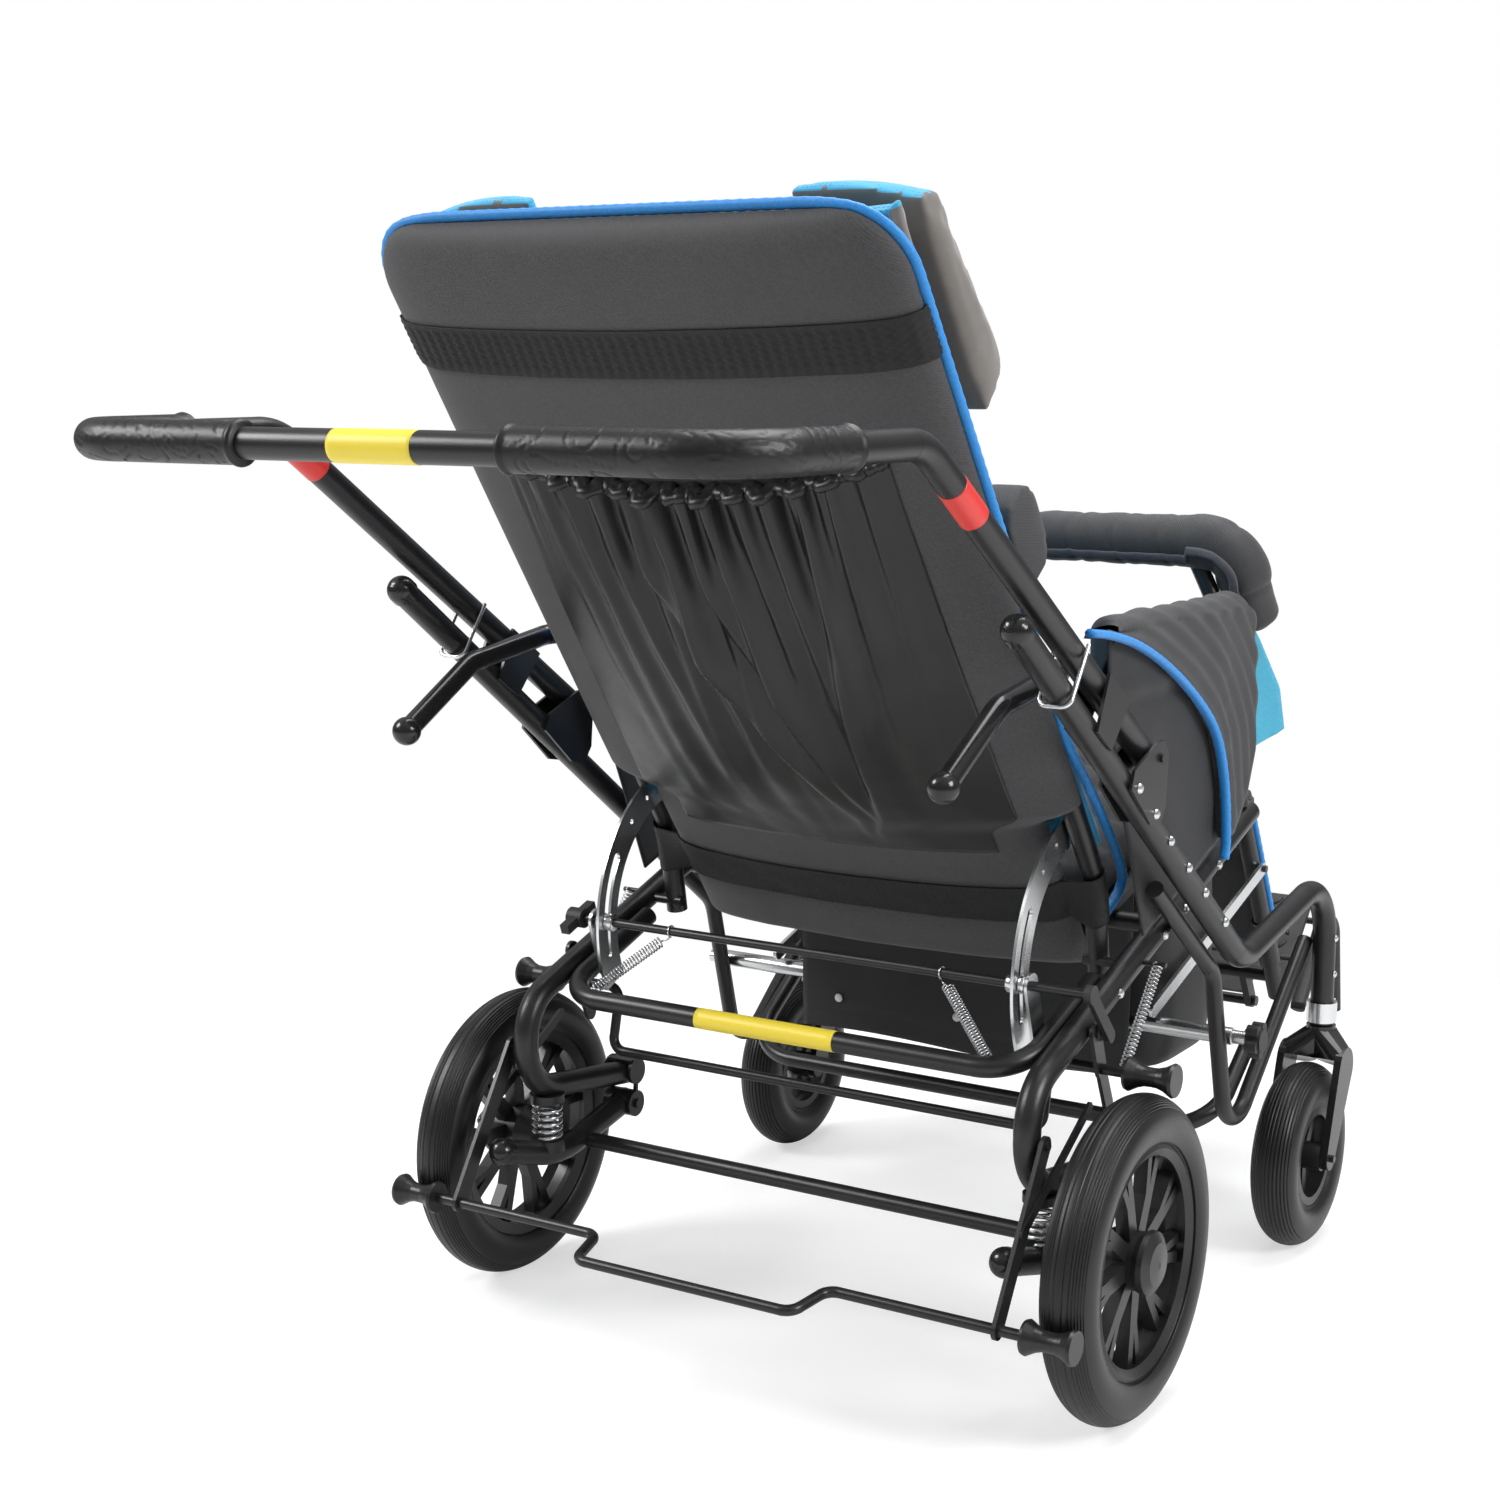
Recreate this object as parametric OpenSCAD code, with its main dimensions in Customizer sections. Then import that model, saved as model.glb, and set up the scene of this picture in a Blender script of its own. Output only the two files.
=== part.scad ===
// Reclining special needs buggy, standing ready for use.
// +Y is forward, +X is the rider's right, +Z is up. The origin lies on the floor
// under the middle of the whole length. Side positions are given as distances
// forward of the rear axle and heights above the floor.

/* [Wheels] */
// Outer diameter of a rear tyre
rear_tyre_d = 300; // [290:1:302]
// Width of a rear tyre
rear_tyre_w = 52; // [46:1:53]
// Distance between the middles of the rear wheels
rear_track = 694; // [692:1:712]
// Number of spokes in a rear wheel
spoke_count = 9; // [6:1:10]
// Outer diameter of a castor tyre
castor_d = 200; // [190:1:202]
// Width of a castor tyre
castor_w = 50; // [40:1:51]
// Distance that the castor axle lies behind its stem
castor_trail = 57; // [48:1:60]
// Distance from the rear axle forward to the castor stems
stem_ahead = 577; // [570:1:590]

/* [Frame] */
// Distance of the rear axle behind the middle of the length
axle_back = 128; // [118:1:138]
// Outer diameter of the main frame tubes
frame_d = 25; // [22:0.5:25]
// Distance between the middles of the two side frames
frame_span = 644; // [642:1:652]
// Lean of the side frames above the horizontal
frame_lean = 36; // [35:0.1:37]
// Outer diameter of the front hoops and the lower cross tube
hoop_d = 17.2; // [15:0.1:17.4]
// Distance between the middles of the seat rails
rail_span = 558; // [557:0.5:559]
// Outer diameter of the seat rails
rail_d = 25; // [23:0.5:25]
// Slope of the seat rails above the horizontal
rail_slope = 18.8; // [18:0.1:19.4]

/* [Push handle] */
// Lean of the push handle above the horizontal
handle_lean = 34; // [32.5:0.5:35]
// Height of the push handle's pivot
fold_z = 598; // [592:1:602]
// Distance of the crossbar behind the rear axle
handle_reach = 607; // [590:1:615]
// Distance of the handle's bend behind the rear axle
handle_bend_back = 365; // [350:1:380]
// Outer diameter of a grip sleeve
grip_d = 34; // [30:1:36]

/* [Backrest] */
// Lean of the backrest behind the vertical
back_lean = 35.6; // [34:0.2:36]
// Length of the back tubes above their pivot
back_len = 790; // [770:5:800]
// Distance between the middles of the back tubes
back_span = 490; // [489:0.5:491]
// Outer diameter of the back tubes
back_d = 22; // [19:0.5:22]
// Radius of the recline quadrants at the middle of their slot
quadrant_r = 140; // [138:0.5:142]
// Thickness of a quadrant plate
quadrant_t = 3; // [2:0.5:3.5]

/* [Seat] */
// Width of the seat cushion
seat_w = 470; // [440:1:472]
// Thickness of the seat cushion
seat_t = 46; // [38:1:50]
// Outer diameter of the seat frame tubes
seat_d = 20; // [18:0.5:20]
// Height of the bumper bar
bumper_z = 770; // [760:1:780]
// Diameter of the bumper bar's padding
bumper_pad_d = 53; // [46:1:54]

/* [Legrest] */
// Lean of the legrest ahead of the vertical
leg_lean = 29.8; // [28:0.2:31]
// Length of the leg tubes from their hinge to the footplate
leg_len = 308; // [300:1:309]
// Width of the footplate
foot_w = 430; // [400:1:436]
// Depth of the footplate
foot_l = 142; // [125:1:150]
// Slope of the footplate, rising forward
foot_slope = 45; // [42:0.5:47]

/* [Clearances] */
// Gap between pieces that lie beside each other
gap = 0.3; // [0.3:0.05:0.4]
// Radial clearance of a turning pin in its bore
run_fit = 0.05; // [0.02:0.01:0.1]

/* [Hidden] */
$fn = 48;
axle_y = -axle_back;
axle_z = rear_tyre_d / 2;
frame_x = frame_span / 2;
rail_x = rail_span / 2;
back_x = back_span / 2;
wheel_x = rear_track / 2;
hoop_x = frame_x - frame_d / 2 - hoop_d / 2 - gap;
pin_d = 10;
small_pin_d = 8;
wheel_pin_d = 12;
stub_back = 195;
stub_z = 732;
fold_ahead = 66;
hook_ahead = -72;
rail_rear_z = 310;
rail_front_ahead = 446;
back_pivot_ahead = 142;
stem_base_z = 233;
stem_in = 60;
castor_radius = castor_d / 2;
function rail_z(ahead) = rail_rear_z + (ahead - hook_ahead) * tan(rail_slope);
stem_y = axle_y + stem_ahead;
thin_wire_d = 1.6;
suspension_wire_d = 4.5;

// Places and directions
function at(x, ahead, z) = [x, axle_y + ahead, z];
function unit(v) = v / norm(v);
function rail_at(x, ahead, up = 0) =
    at(x, ahead - up * sin(rail_slope), rail_z(ahead) + up * cos(rail_slope));
frame_way = [0, -cos(frame_lean), sin(frame_lean)];
frame_under = [0, -sin(frame_lean), -cos(frame_lean)];
handle_way = [0, -cos(handle_lean), sin(handle_lean)];
handle_under = [0, -sin(handle_lean), -cos(handle_lean)];
stub_end = at(frame_x, -stub_back, stub_z);
fold_pivot = at(frame_x, fold_ahead, fold_z);

// A bent tube: straight runs lapped into round elbows, which are a hair fuller than the runs
lap = 0.5;
fuller = 0.2;
function dir(pts, i) = unit(pts[i + 1] - pts[i]);
function turn(pts, i) = acos(max(-1, min(1, dir(pts, i - 1) * dir(pts, i))));
function columns(x, y, z, o) =
    [[x.x, y.x, z.x, o.x], [x.y, y.y, z.y, o.y], [x.z, y.z, z.z, o.z], [0, 0, 0, 1]];
function across(z) = unit(cross(abs(z.x) < 0.9 ? [1, 0, 0] : [0, 1, 0], z));
function aligned(o, z) = columns(across(z), cross(z, across(z)), z, o);

module ring(d, bore) {
    difference() {
        circle(d = d);
        if (bore > 0) circle(d = bore);
    }
}

module straight(a, b, d, bore = 0) {
    multmatrix(aligned(a, unit(b - a))) linear_extrude(norm(b - a)) ring(d, bore);
}

module elbow(pts, i, bend, d, bore) {
    from = dir(pts, i - 1);
    to = dir(pts, i);
    inward = unit(to - (to * from) * from);
    centre = pts[i] - bend * tan(turn(pts, i) / 2) * from + bend * inward;
    multmatrix(columns(-inward, from, cross(-inward, from), centre))
        rotate_extrude(angle = turn(pts, i)) translate([bend, 0]) ring(d, bore);
}

module bent_tube(pts, bend, d, bore = 0) {
    last = len(pts) - 1;
    radius = [for (i = [0:last]) is_list(bend) ? bend[i] : bend];
    trim = [for (i = [0:last]) i == 0 || i == last ? 0 : radius[i] * tan(turn(pts, i) / 2) - lap];
    for (i = [0:last - 1])
        straight(pts[i] + trim[i] * dir(pts, i), pts[i + 1] - trim[i + 1] * dir(pts, i), d, bore);
    for (i = [1:last - 1]) elbow(pts, i, radius[i], d + fuller, bore > 0 ? bore - fuller : 0);
}

module both_sides() {
    children();
    mirror([1, 0, 0]) children();
}

// A round bar along X between two distances from the middle
module cross_bar(place, x0, x1, d, bore = 0) {
    translate([x0, place.y, place.z]) rotate([0, 90, 0]) linear_extrude(x1 - x0) ring(d, bore);
}

// A flat bar in the side view, between two round ends, from x0 to x1
module flat_link(a, b, width, x0, x1) {
    way = unit(b - a);
    side = cross([1, 0, 0], way) * width / 2;
    translate([x0, 0, 0]) rotate([90, 0, 90]) linear_extrude(x1 - x0) {
        polygon([for (p = [a + side, b + side, b - side, a - side]) [p.y, p.z]]);
        for (p = [a, b]) translate([p.y, p.z]) circle(d = width);
    }
}

// One unbroken coil of wire from a to b, with its least gap to itself
coil_rings = 8;
coil_sides = 6;
function coil_points(length, mean_r, wire, turns) =
    [for (i = [0:turns * coil_rings])
        let (a = 360 * i / coil_rings)
        [mean_r * cos(a), mean_r * sin(a), wire / 2 + (length - wire) * i / (turns * coil_rings)]];
function least_gap(pts, wire) =
    min([for (i = [0:len(pts) - coil_rings - 1]) norm(pts[i + coil_rings] - pts[i])]) - wire;
module coil(a, b, mean_d, wire, turns) {
    mid = coil_points(norm(b - a), mean_d / 2, wire, turns);
    n = len(mid);
    skin = [for (c = mid, s = [0:coil_sides - 1])
        let (out = unit([c.x, c.y, 0]), q = 360 * s / coil_sides)
        c + wire / 2 * (cos(q) * out + sin(q) * [0, 0, 1])];
    walls = [for (i = [0:n - 2], s = [0:coil_sides - 1])
        let (p = i * coil_sides + s, q = i * coil_sides + (s + 1) % coil_sides)
        each [[p, q, q + coil_sides], [p, q + coil_sides, p + coil_sides]]];
    foot = [for (s = [1:coil_sides - 2]) [0, s + 1, s]];
    head = [for (s = [1:coil_sides - 2]) let (o = (n - 1) * coil_sides) [o, o + s, o + s + 1]];
    echo(coil_turns = turns, least_gap = least_gap(mid, wire));
    multmatrix(aligned(a, unit(b - a))) polyhedron(skin, concat(walls, foot, head), convexity = 10);
}

// A padded slab of width w (X), length l (Y) and thickness t (Z) with a crown, sides
// that draw in between the corners, and sewn channels across its length
function pad_fall(u, v) = pow(max(0, 1 - pow(abs(u), 4)) * max(0, 1 - pow(abs(v), 4)), 0.5);
function pad_channel(v, channels) = channels == 0 ? 0 : pow(abs(cos(180 * channels * (v + 1) / 2)), 8);
module pad(w, l, t, nu, nv, channels = 0, draw = 0.02, edge = 0.45, under = 0) {
    us = [for (i = [0:nu]) -cos(180 * i / nu)];
    vs = [for (j = [0:nv]) channels == 0 ? -cos(180 * j / nv) : -1 + 2 * j / nv];
    top = [for (v = vs, u = us)
        let (h = t * (edge + (1 - edge) * pad_fall(u, v) * (1 - 0.18 * pad_channel(v, channels))))
        [w / 2 * u * (1 - draw * cos(90 * v)), l / 2 * v * (1 - draw * cos(90 * u)), h]];
    low = [for (v = vs, u = us)
        [w / 2 * u * (1 - draw * cos(90 * v)), l / 2 * v * (1 - draw * cos(90 * u)),
         under * t * (1 - pad_fall(u, v))]];
    m = nu + 1;
    base = m * (nv + 1);
    cells = [for (j = [0:nv - 1], i = [0:nu - 1]) let (p = j * m + i)
        each [[p, p + m + 1, p + 1], [p, p + m, p + m + 1],
              [base + p, base + p + 1, base + p + m + 1], [base + p, base + p + m + 1, base + p + m]]];
    rim = concat([for (i = [0:nu]) i], [for (j = [1:nv]) j * m + nu],
                 [for (i = [nu - 1:-1:0]) nv * m + i], [for (j = [nv - 1:-1:1]) j * m]);
    wall = [for (k = [0:len(rim) - 1]) let (p = rim[k], q = rim[(k + 1) % len(rim)])
        each [[p, q, base + q], [p, base + q, base + p]]];
    polyhedron(concat(top, low), concat(cells, wall), convexity = 4);
}

// Side frames: the stub beside the handle, the long diagonal, the low bend and the castor upright
stem_bore = wheel_pin_d + 2 * run_fit;
module side_frame() {
    low = stub_end - (517 / cos(frame_lean)) * frame_way;
    difference() {
        bent_tube([stub_end, low, at(frame_x, stem_ahead, 401), at(frame_x, stem_ahead, stem_base_z)],
                  60, frame_d);
        translate([frame_x, stem_y, stem_base_z - 1]) cylinder(d = stem_bore, h = stem_in + 5);
    }
}
module side_frame_r() { color("#1c1c1e") side_frame(); }
module side_frame_l() { color("#1c1c1e") mirror([1, 0, 0]) side_frame(); }

// Front hoops inside the side frames, and the lower cross tube between them
hoop_knee = at(hoop_x, 303, 346);
hoop_foot = at(hoop_x, 358, 145);
module front_hoops() {
    cross_x = hoop_x - hoop_d - gap;
    color("#1c1c1e") {
        both_sides()
            bent_tube([at(hoop_x, 149, 458), hoop_knee, hoop_foot, at(hoop_x, stem_ahead, 324)],
                      40, hoop_d);
        bent_tube([at(cross_x, 470, 240), at(cross_x, 352, 160), at(-cross_x, 352, 160),
                   at(-cross_x, 470, 240)], 60, hoop_d);
    }
}

// Seat rails: a long rail that curls down and forward at the rear into a hook,
// with the pivot pins of both brakes and of the backrest, and the spring's upper cup
brake_pivot = at(rail_x, hook_ahead, 266);
crank_pivot = rail_at(rail_x, 30);
back_pivot = rail_at(0, back_pivot_ahead);
spring_ahead = -38;
spring_top = 202;
pivot_out = 22;
return_pin = rail_at(rail_x, 150);
module seat_rail() {
    path = [rail_at(rail_x, rail_front_ahead), at(rail_x, hook_ahead, rail_rear_z),
            at(rail_x, hook_ahead, 222), at(rail_x, 118, 196)];
    bent_tube(path, 52, rail_d);
    for (p = [brake_pivot, crank_pivot]) cross_bar(p, rail_x, rail_x + pivot_out, small_pin_d);
    cross_bar(return_pin, rail_x, rail_x + 35, 5);
    cross_bar(back_pivot, back_x - back_d / 2 - 1, rail_x, pin_d);
    translate(at(rail_x, spring_ahead, spring_top)) cylinder(d = 36, h = 8);
}
module seat_rail_r() { color("#1c1c1e") seat_rail(); }
module seat_rail_l() { color("#1c1c1e") mirror([1, 0, 0]) seat_rail(); }

// Seat frame: a U of tube under the seat, two cross tubes and the legrest's hinge bar
seat_x = 205;
seat_pitch = 14.6;
function seat_z(ahead) = rail_z(215) + (ahead - 215) * tan(seat_pitch);
function seat_at(x, ahead, up = 0) =
    at(x, ahead - up * sin(seat_pitch), seat_z(ahead) + up * cos(seat_pitch));
seat_rear = 195;
seat_front = 560;
hinge_bar = at(0, 585, 470);
module seat_frame() {
    inner_x = rail_x - rail_d / 2 - gap;
    color("#1c1c1e") {
        bent_tube([seat_at(-seat_x, seat_rear), seat_at(-seat_x, seat_front),
                   seat_at(seat_x, seat_front), seat_at(seat_x, seat_rear)], 40, seat_d);
        for (ahead = [215, 330]) cross_bar(seat_at(0, ahead), -inner_x, inner_x, seat_d - 1);
        cross_bar(hinge_bar, -231, 231, wheel_pin_d);
        for (x = [-156, 150]) flat_link(seat_at(0, seat_front), hinge_bar, 18, x, x + 6);
    }
}

// Recline bar: a U bar bolted along the inner sides of the rails
bar_d = 20;
recline_x = rail_x - rail_d / 2 - bar_d / 2 - gap;
recline_low = at(0, -42, 318);
module recline_bar() {
    rise = 154 * tan(rail_slope);
    arm = recline_low + [recline_x, 154, rise];
    corner = recline_low + [recline_x, 0, 0];
    color("#1c1c1e")
        bent_tube([[-arm.x, arm.y, arm.z], [-corner.x, corner.y, corner.z], corner, arm], 45, bar_d);
}

// Lock rod across the quadrants, with the link plates that carry it from the recline bar
rod_d = 9;
rod_turn = 178;
rod_place = back_pivot + quadrant_r * [0, cos(rod_turn), sin(rod_turn)];
quadrant_x = back_x - back_d / 2 - quadrant_t - gap;
link_x = recline_x - bar_d / 2 - 3 - gap;
rod_left = 258;
rod_right = 300;
module rod_links() {
    along = rod_place.y + 16 - recline_low.y;
    foot = recline_low + [0, along, along * tan(rail_slope)];
    color("silver") both_sides() difference() {
        flat_link(foot, rod_place, 24, link_x, link_x + 3);
        cross_bar(rod_place, link_x - 1, link_x + 4, rod_d + 2 * gap);
    }
}
module lock_rod() { color("#2a2a2c") cross_bar(rod_place, -rod_left, rod_right, rod_d); }
module recline_springs() {
    color("silver") both_sides()
        coil(recline_low + [220.6, 4.75, 8.2], rod_place + [160.9, -4.8, -10.2], 10, thin_wire_d, 10);
}

// Round caps pushed on the stub ends of the side frames
module round_cap(foot, way, r) {
    multmatrix(aligned(foot + gap * way, way)) rotate_extrude()
        polygon(concat([[0, 0], [r, 0]], [for (a = [0:10:90]) [r * cos(a), 6 + r * sin(a)]]));
}
module frame_caps() { color("#0e0e0e") both_sides() round_cap(stub_end, frame_way, frame_d / 2 + 1.5); }

// Brackets: the fold cheeks with the handle's pivot bolt, and the swing arms' clamps
cheek_t = 3;
cheek_gap = frame_d / 2 + 0.5;
arm_pivot = at(rail_x, 97, 167);
arm_cheek = rail_d / 2 + 0.8;
module frame_brackets() {
    edge = [[2, 578], [46, 540], [68, 536], [80, 552], [84, 600], [74, 613], [58, 613], [8, 594]];
    color("#1c1c1e") both_sides() {
        for (x = [frame_x - cheek_gap - cheek_t, frame_x + cheek_gap])
            translate([x, 0, 0]) rotate([90, 0, 90]) linear_extrude(cheek_t)
                polygon([for (p = edge) [axle_y + p[0], p[1]]]);
        cross_bar(fold_pivot, frame_x - cheek_gap - cheek_t - 3, frame_x + cheek_gap + cheek_t + 3,
                  small_pin_d);
        for (x = [rail_x - arm_cheek - 4, rail_x + arm_cheek])
            flat_link(arm_pivot, at(0, 99, 202), 28, x, x + 4);
        cross_bar(arm_pivot, rail_x - arm_cheek - 7, rail_x + arm_cheek + 7, pin_d);
        translate([rail_x - arm_cheek - 2, axle_y + 88, 212.5]) cube([2 * arm_cheek + 4, 22, 3]);
    }
}

// Dome rivets and bolts along the tubes
module dome(place, d = 10) {
    translate(place) rotate([0, 90, 0]) rotate_extrude()
        polygon([[0, 0], [d / 2, 0], [d / 2 * 0.82, d * 0.18], [d / 2 * 0.45, d * 0.28], [0, d * 0.3]]);
}
module frame_rivets() {
    color("silver") both_sides() {
        for (ahead = [96, 200, 250, 335]) dome(rail_at(rail_x + rail_d / 2 + gap, ahead));
        for (share = [368, 424, 478, 545])
            dome(stub_end - share * frame_way + [frame_d / 2 + gap, 0, 0]);
        for (p = [[19, 577], [58, 548]]) dome(at(frame_x + cheek_gap + cheek_t + gap, p[0], p[1]));
        for (z = [290, 330]) dome([frame_x + frame_d / 2 + gap, stem_y, z], 8);
    }
}

// Clamp collars on the castor uprights, each with a pinch lug
module castor_collars() {
    color("silver") both_sides() difference() {
        union() {
            translate([frame_x, stem_y, stem_base_z + 3]) cylinder(d = frame_d + 8, h = 22);
            translate([frame_x - 6, stem_y + frame_d / 2 + 1, stem_base_z + 5]) cube([12, 14, 18]);
        }
        translate([frame_x, stem_y, stem_base_z]) cylinder(d = frame_d + 2 * gap, h = 40);
        translate([frame_x - 1, stem_y, stem_base_z]) cube([2, 40, 40]);
    }
}

// Leg shaft: a plated telescopic shaft that lies against the front hoops, with its star knob
shaft_d = 18;
shaft_way = unit(hoop_foot - hoop_knee);
shaft_place = hoop_knee - [hoop_x, 0, 0] + 83.1 * shaft_way
    + ((hoop_d + fuller + shaft_d) / 2 + gap) * [0, -shaft_way.z, shaft_way.y];
shaft_end = frame_x + 4;
module leg_shaft() {
    color("silver") {
        cross_bar(shaft_place, -shaft_end, shaft_end, shaft_d - 4);
        cross_bar(shaft_place, -shaft_end + 16, shaft_end - 16, shaft_d);
        both_sides() cross_bar(shaft_place, 150, 190, shaft_d + 5);
    }
}
module star_knob() {
    x = shaft_end + gap;
    color("#161617") translate([x, shaft_place.y, shaft_place.z]) rotate([0, 90, 0]) {
        cylinder(d = 24, h = 16);
        for (i = [0:4]) rotate(72 * i) translate([13, 0, 2]) cylinder(d = 13, h = 12);
    }
}

// Seat board and cushion
board_t = 8;
seat_len = (seat_front - seat_rear) / cos(seat_pitch) + 12;
module seat_board() {
    color("#262628") translate(seat_at(-seat_w / 2, seat_rear, seat_d / 2 + gap)) rotate([seat_pitch, 0, 0])
        cube([seat_w, seat_len, board_t]);
}
module seat_cushion() {
    color("#3a3a3d") translate(seat_at(0, (seat_rear + seat_front) / 2, seat_d / 2 + board_t + 2 * gap))
        rotate([seat_pitch, 0, 0]) pad(seat_w, seat_len, seat_t, 8, 15, channels = 5);
}

// Arms and bumper bar: posts on the rails, arm tubes behind them and the bar in front of the rider
arm_x = rail_x - 2;
arm_d = 18;
bumper_ahead = 395;
bar_half = 238;
neck_low = at(arm_x, 405, 655);
neck_high = at(224, bumper_ahead, bumper_z);
arm_rear = at(arm_x, 85, 702);
module bumper_tube() {
    post = rail_at(arm_x, 430, rail_d / 2 + gap + 2);
    color("#1c1c1e") {
        both_sides() {
            bent_tube([post, neck_low, neck_high], 40, arm_d);
            straight(neck_low + 0.3 * (neck_high - neck_low), arm_rear, arm_d - 1);
        }
        cross_bar(neck_high, -bar_half, bar_half, arm_d + 1);
    }
}
module bumper_pad() {
    droop = unit([0, 65, -90]);
    turn_x = arm_x - 2;
    corner = at(turn_x, bumper_ahead, bumper_z);
    color("#333336") difference() {
        union() {
            cross_bar(neck_high, -bar_half - 2, bar_half + 2, bumper_pad_d, arm_d + 1 + 2 * gap);
            both_sides() bent_tube([corner - [turn_x - bar_half - 1, 0, 0], corner, corner + 104 * droop],
                                   turn_x - bar_half - 2, bumper_pad_d + fuller);
        }
        both_sides() straight(neck_high, neck_high + (neck_low - neck_high), arm_d + 2 * gap);
    }
}
// Loose lining flap that hangs beside the right bumper end
module bumper_flap() {
    run = unit([42, 46, 0]);
    color("#33a9d8") multmatrix(columns(run, [0, 0, 1], cross(run, [0, 0, 1]), at(256, 420, 0)))
        linear_extrude(3) polygon([[0, 541], [58, 574], [50, 610], [22, 658], [4, 694.4], [0, 696.4]]);
}
module arm_pads() {
    way = unit(neck_low + 0.3 * (neck_high - neck_low) - arm_rear);
    color("#333336") both_sides() translate(arm_rear + 62 * way) rotate([atan2(way.z, way.y), 0, 0])
        translate([2, 0, arm_d / 2 + gap]) pad(44, 120, 22, 4, 6);
}

// Soft side panels outside the arm tubes
panel_t = 5;
module side_panel() {
    edge = [[62, 376], [86, 384], [200, 424], [340, 472], [372, 520], [410, 600], [416, 684], [396, 704],
            [215, 703], [60, 707], [50, 694], [56, 560]];
    translate([arm_x + arm_d / 2 + gap, 0, 0]) rotate([90, 0, 90]) linear_extrude(panel_t)
        polygon([for (p = edge) [axle_y + p[0], p[1]]]);
}
module side_panel_r() { color("#2b2b2d") side_panel(); }
module side_panel_l() { color("#2b2b2d") mirror([1, 0, 0]) side_panel(); }

// Under-seat basket: an open bag hung from the seat frame, between the leg struts
basket_wall = 3.5;
basket_x = 222;
module basket() {
    low = 206;
    rear = 358;
    front = 540;
    under = seat_d / 2 + gap + 0.2;
    edge = [at(0, rear, low), at(0, front, low), seat_at(0, front, -under), seat_at(0, rear, -under)];
    color("#161617") difference() {
        translate([-basket_x, 0, 0]) rotate([90, 0, 90]) linear_extrude(2 * basket_x)
            polygon([for (p = edge) [p.y, p.z]]);
        translate([-basket_x + basket_wall, axle_y + rear + basket_wall, low + basket_wall])
            cube([2 * (basket_x - basket_wall), front - rear - 2 * basket_wall, 300]);
    }
}

// Return springs of the tyre brake, hung from pins on the rails
module brake_springs() {
    x = rail_x + 27;
    high = [x, return_pin.y + 0.33, return_pin.z + 0.37];
    color("silver") both_sides() coil(at(x, 72, 298), high, 9, thin_wire_d, 9);
}

// Push handle: a U of tube that swings on its lower ends
handle_corner_r = 60;
handle_bend = fold_pivot + (fold_ahead + handle_bend_back) / cos(handle_lean) * handle_way;
handle_end = at(frame_x, -handle_reach, handle_bend.z - 2);
module push_handle() {
    right = [fold_pivot - 14 * handle_way, handle_bend, handle_end];
    left = [for (i = [2:-1:0]) [-right[i].x, right[i].y, right[i].z]];
    color("#1c1c1e") difference() {
        bent_tube(concat(right, left), [0, 70, handle_corner_r, handle_corner_r, 70, 0], frame_d);
        both_sides() cross_bar(fold_pivot, frame_x - 30, frame_x + 30, small_pin_d + 2 * run_fit);
    }
}
module handle_grips() {
    back = unit(handle_bend - handle_end);
    color("#141414") both_sides()
        bent_tube([handle_end + 134 * back, handle_end, handle_end - [frame_x - 125, 0, 0]],
                  handle_corner_r, grip_d, frame_d + 2 * gap + fuller);
}
// Saddles under the handle that straddle the frame tube
module handle_saddles() {
    centre = fold_pivot + 118 * handle_way;
    edge = [centre + 28 * handle_way - 9 * handle_under, centre - 24 * handle_way - 9 * handle_under,
            centre - 16 * handle_way + 44 * handle_under, centre + 20 * handle_way + 44 * handle_under];
    color("#1c1c1e") both_sides()
        for (x = [frame_x - cheek_gap - cheek_t, frame_x + cheek_gap])
            translate([x, 0, 0]) rotate([90, 0, 90]) linear_extrude(cheek_t)
                polygon([for (p = edge) [p.y, p.z]]);
}

// Wire clips that hold the handle tube against the stub
clip_wire = 4;
module lock_clip() {
    leg = frame_d / 2 + clip_wire / 2 + gap;
    seat = stub_end - 92 * frame_way;
    tip = -46 * frame_under;
    rear = leg * frame_under;
    aside = [leg, 0, 0];
    bent_tube([seat + tip - aside, seat + rear - aside, seat + rear + aside, seat + tip + aside],
              9, clip_wire);
}
module lock_clip_r() { color("silver") lock_clip(); }
module lock_clip_l() { color("silver") mirror([1, 0, 0]) lock_clip(); }

// Backrest, drawn upright about its pivot and then leaned back
module leaned() { translate(back_pivot) rotate([back_lean, 0, 0]) children(); }
back_ahead = 42;
panel_low = -34;
panel_step = 184;
panel_high = 818;
panel_front = back_ahead - back_d / 2 - gap;
sling_half = back_x - back_d / 2 - quadrant_t - 9;
function panel_half(z) = z < panel_step - 24 ? sling_half
    : z < panel_step ? sling_half + (back_x + 19 - sling_half) * (z - panel_step + 24) / 24
    : back_x + 19 - 14 * pow(max(0, z - 740) / 78, 2);
function panel_out(u, z) = 13 + pow(max(0, 1 - u * u), 0.6)
    * (15 + 17 * sin(180 * (z - panel_low) / (panel_high - panel_low)));
module back_frame() {
    right = [[back_x, 0, -14], [back_x, back_ahead, 75], [back_x, back_ahead, back_len]];
    left = [for (i = [2:-1:0]) [-right[i].x, right[i].y, right[i].z]];
    color("#1c1c1e") leaned() difference() {
        bent_tube(concat(right, left), [0, 60, 70, 70, 60, 0], back_d);
        cross_bar([0, 0, 0], -back_x - 30, back_x + 30, pin_d + 2 * run_fit);
    }
}
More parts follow.
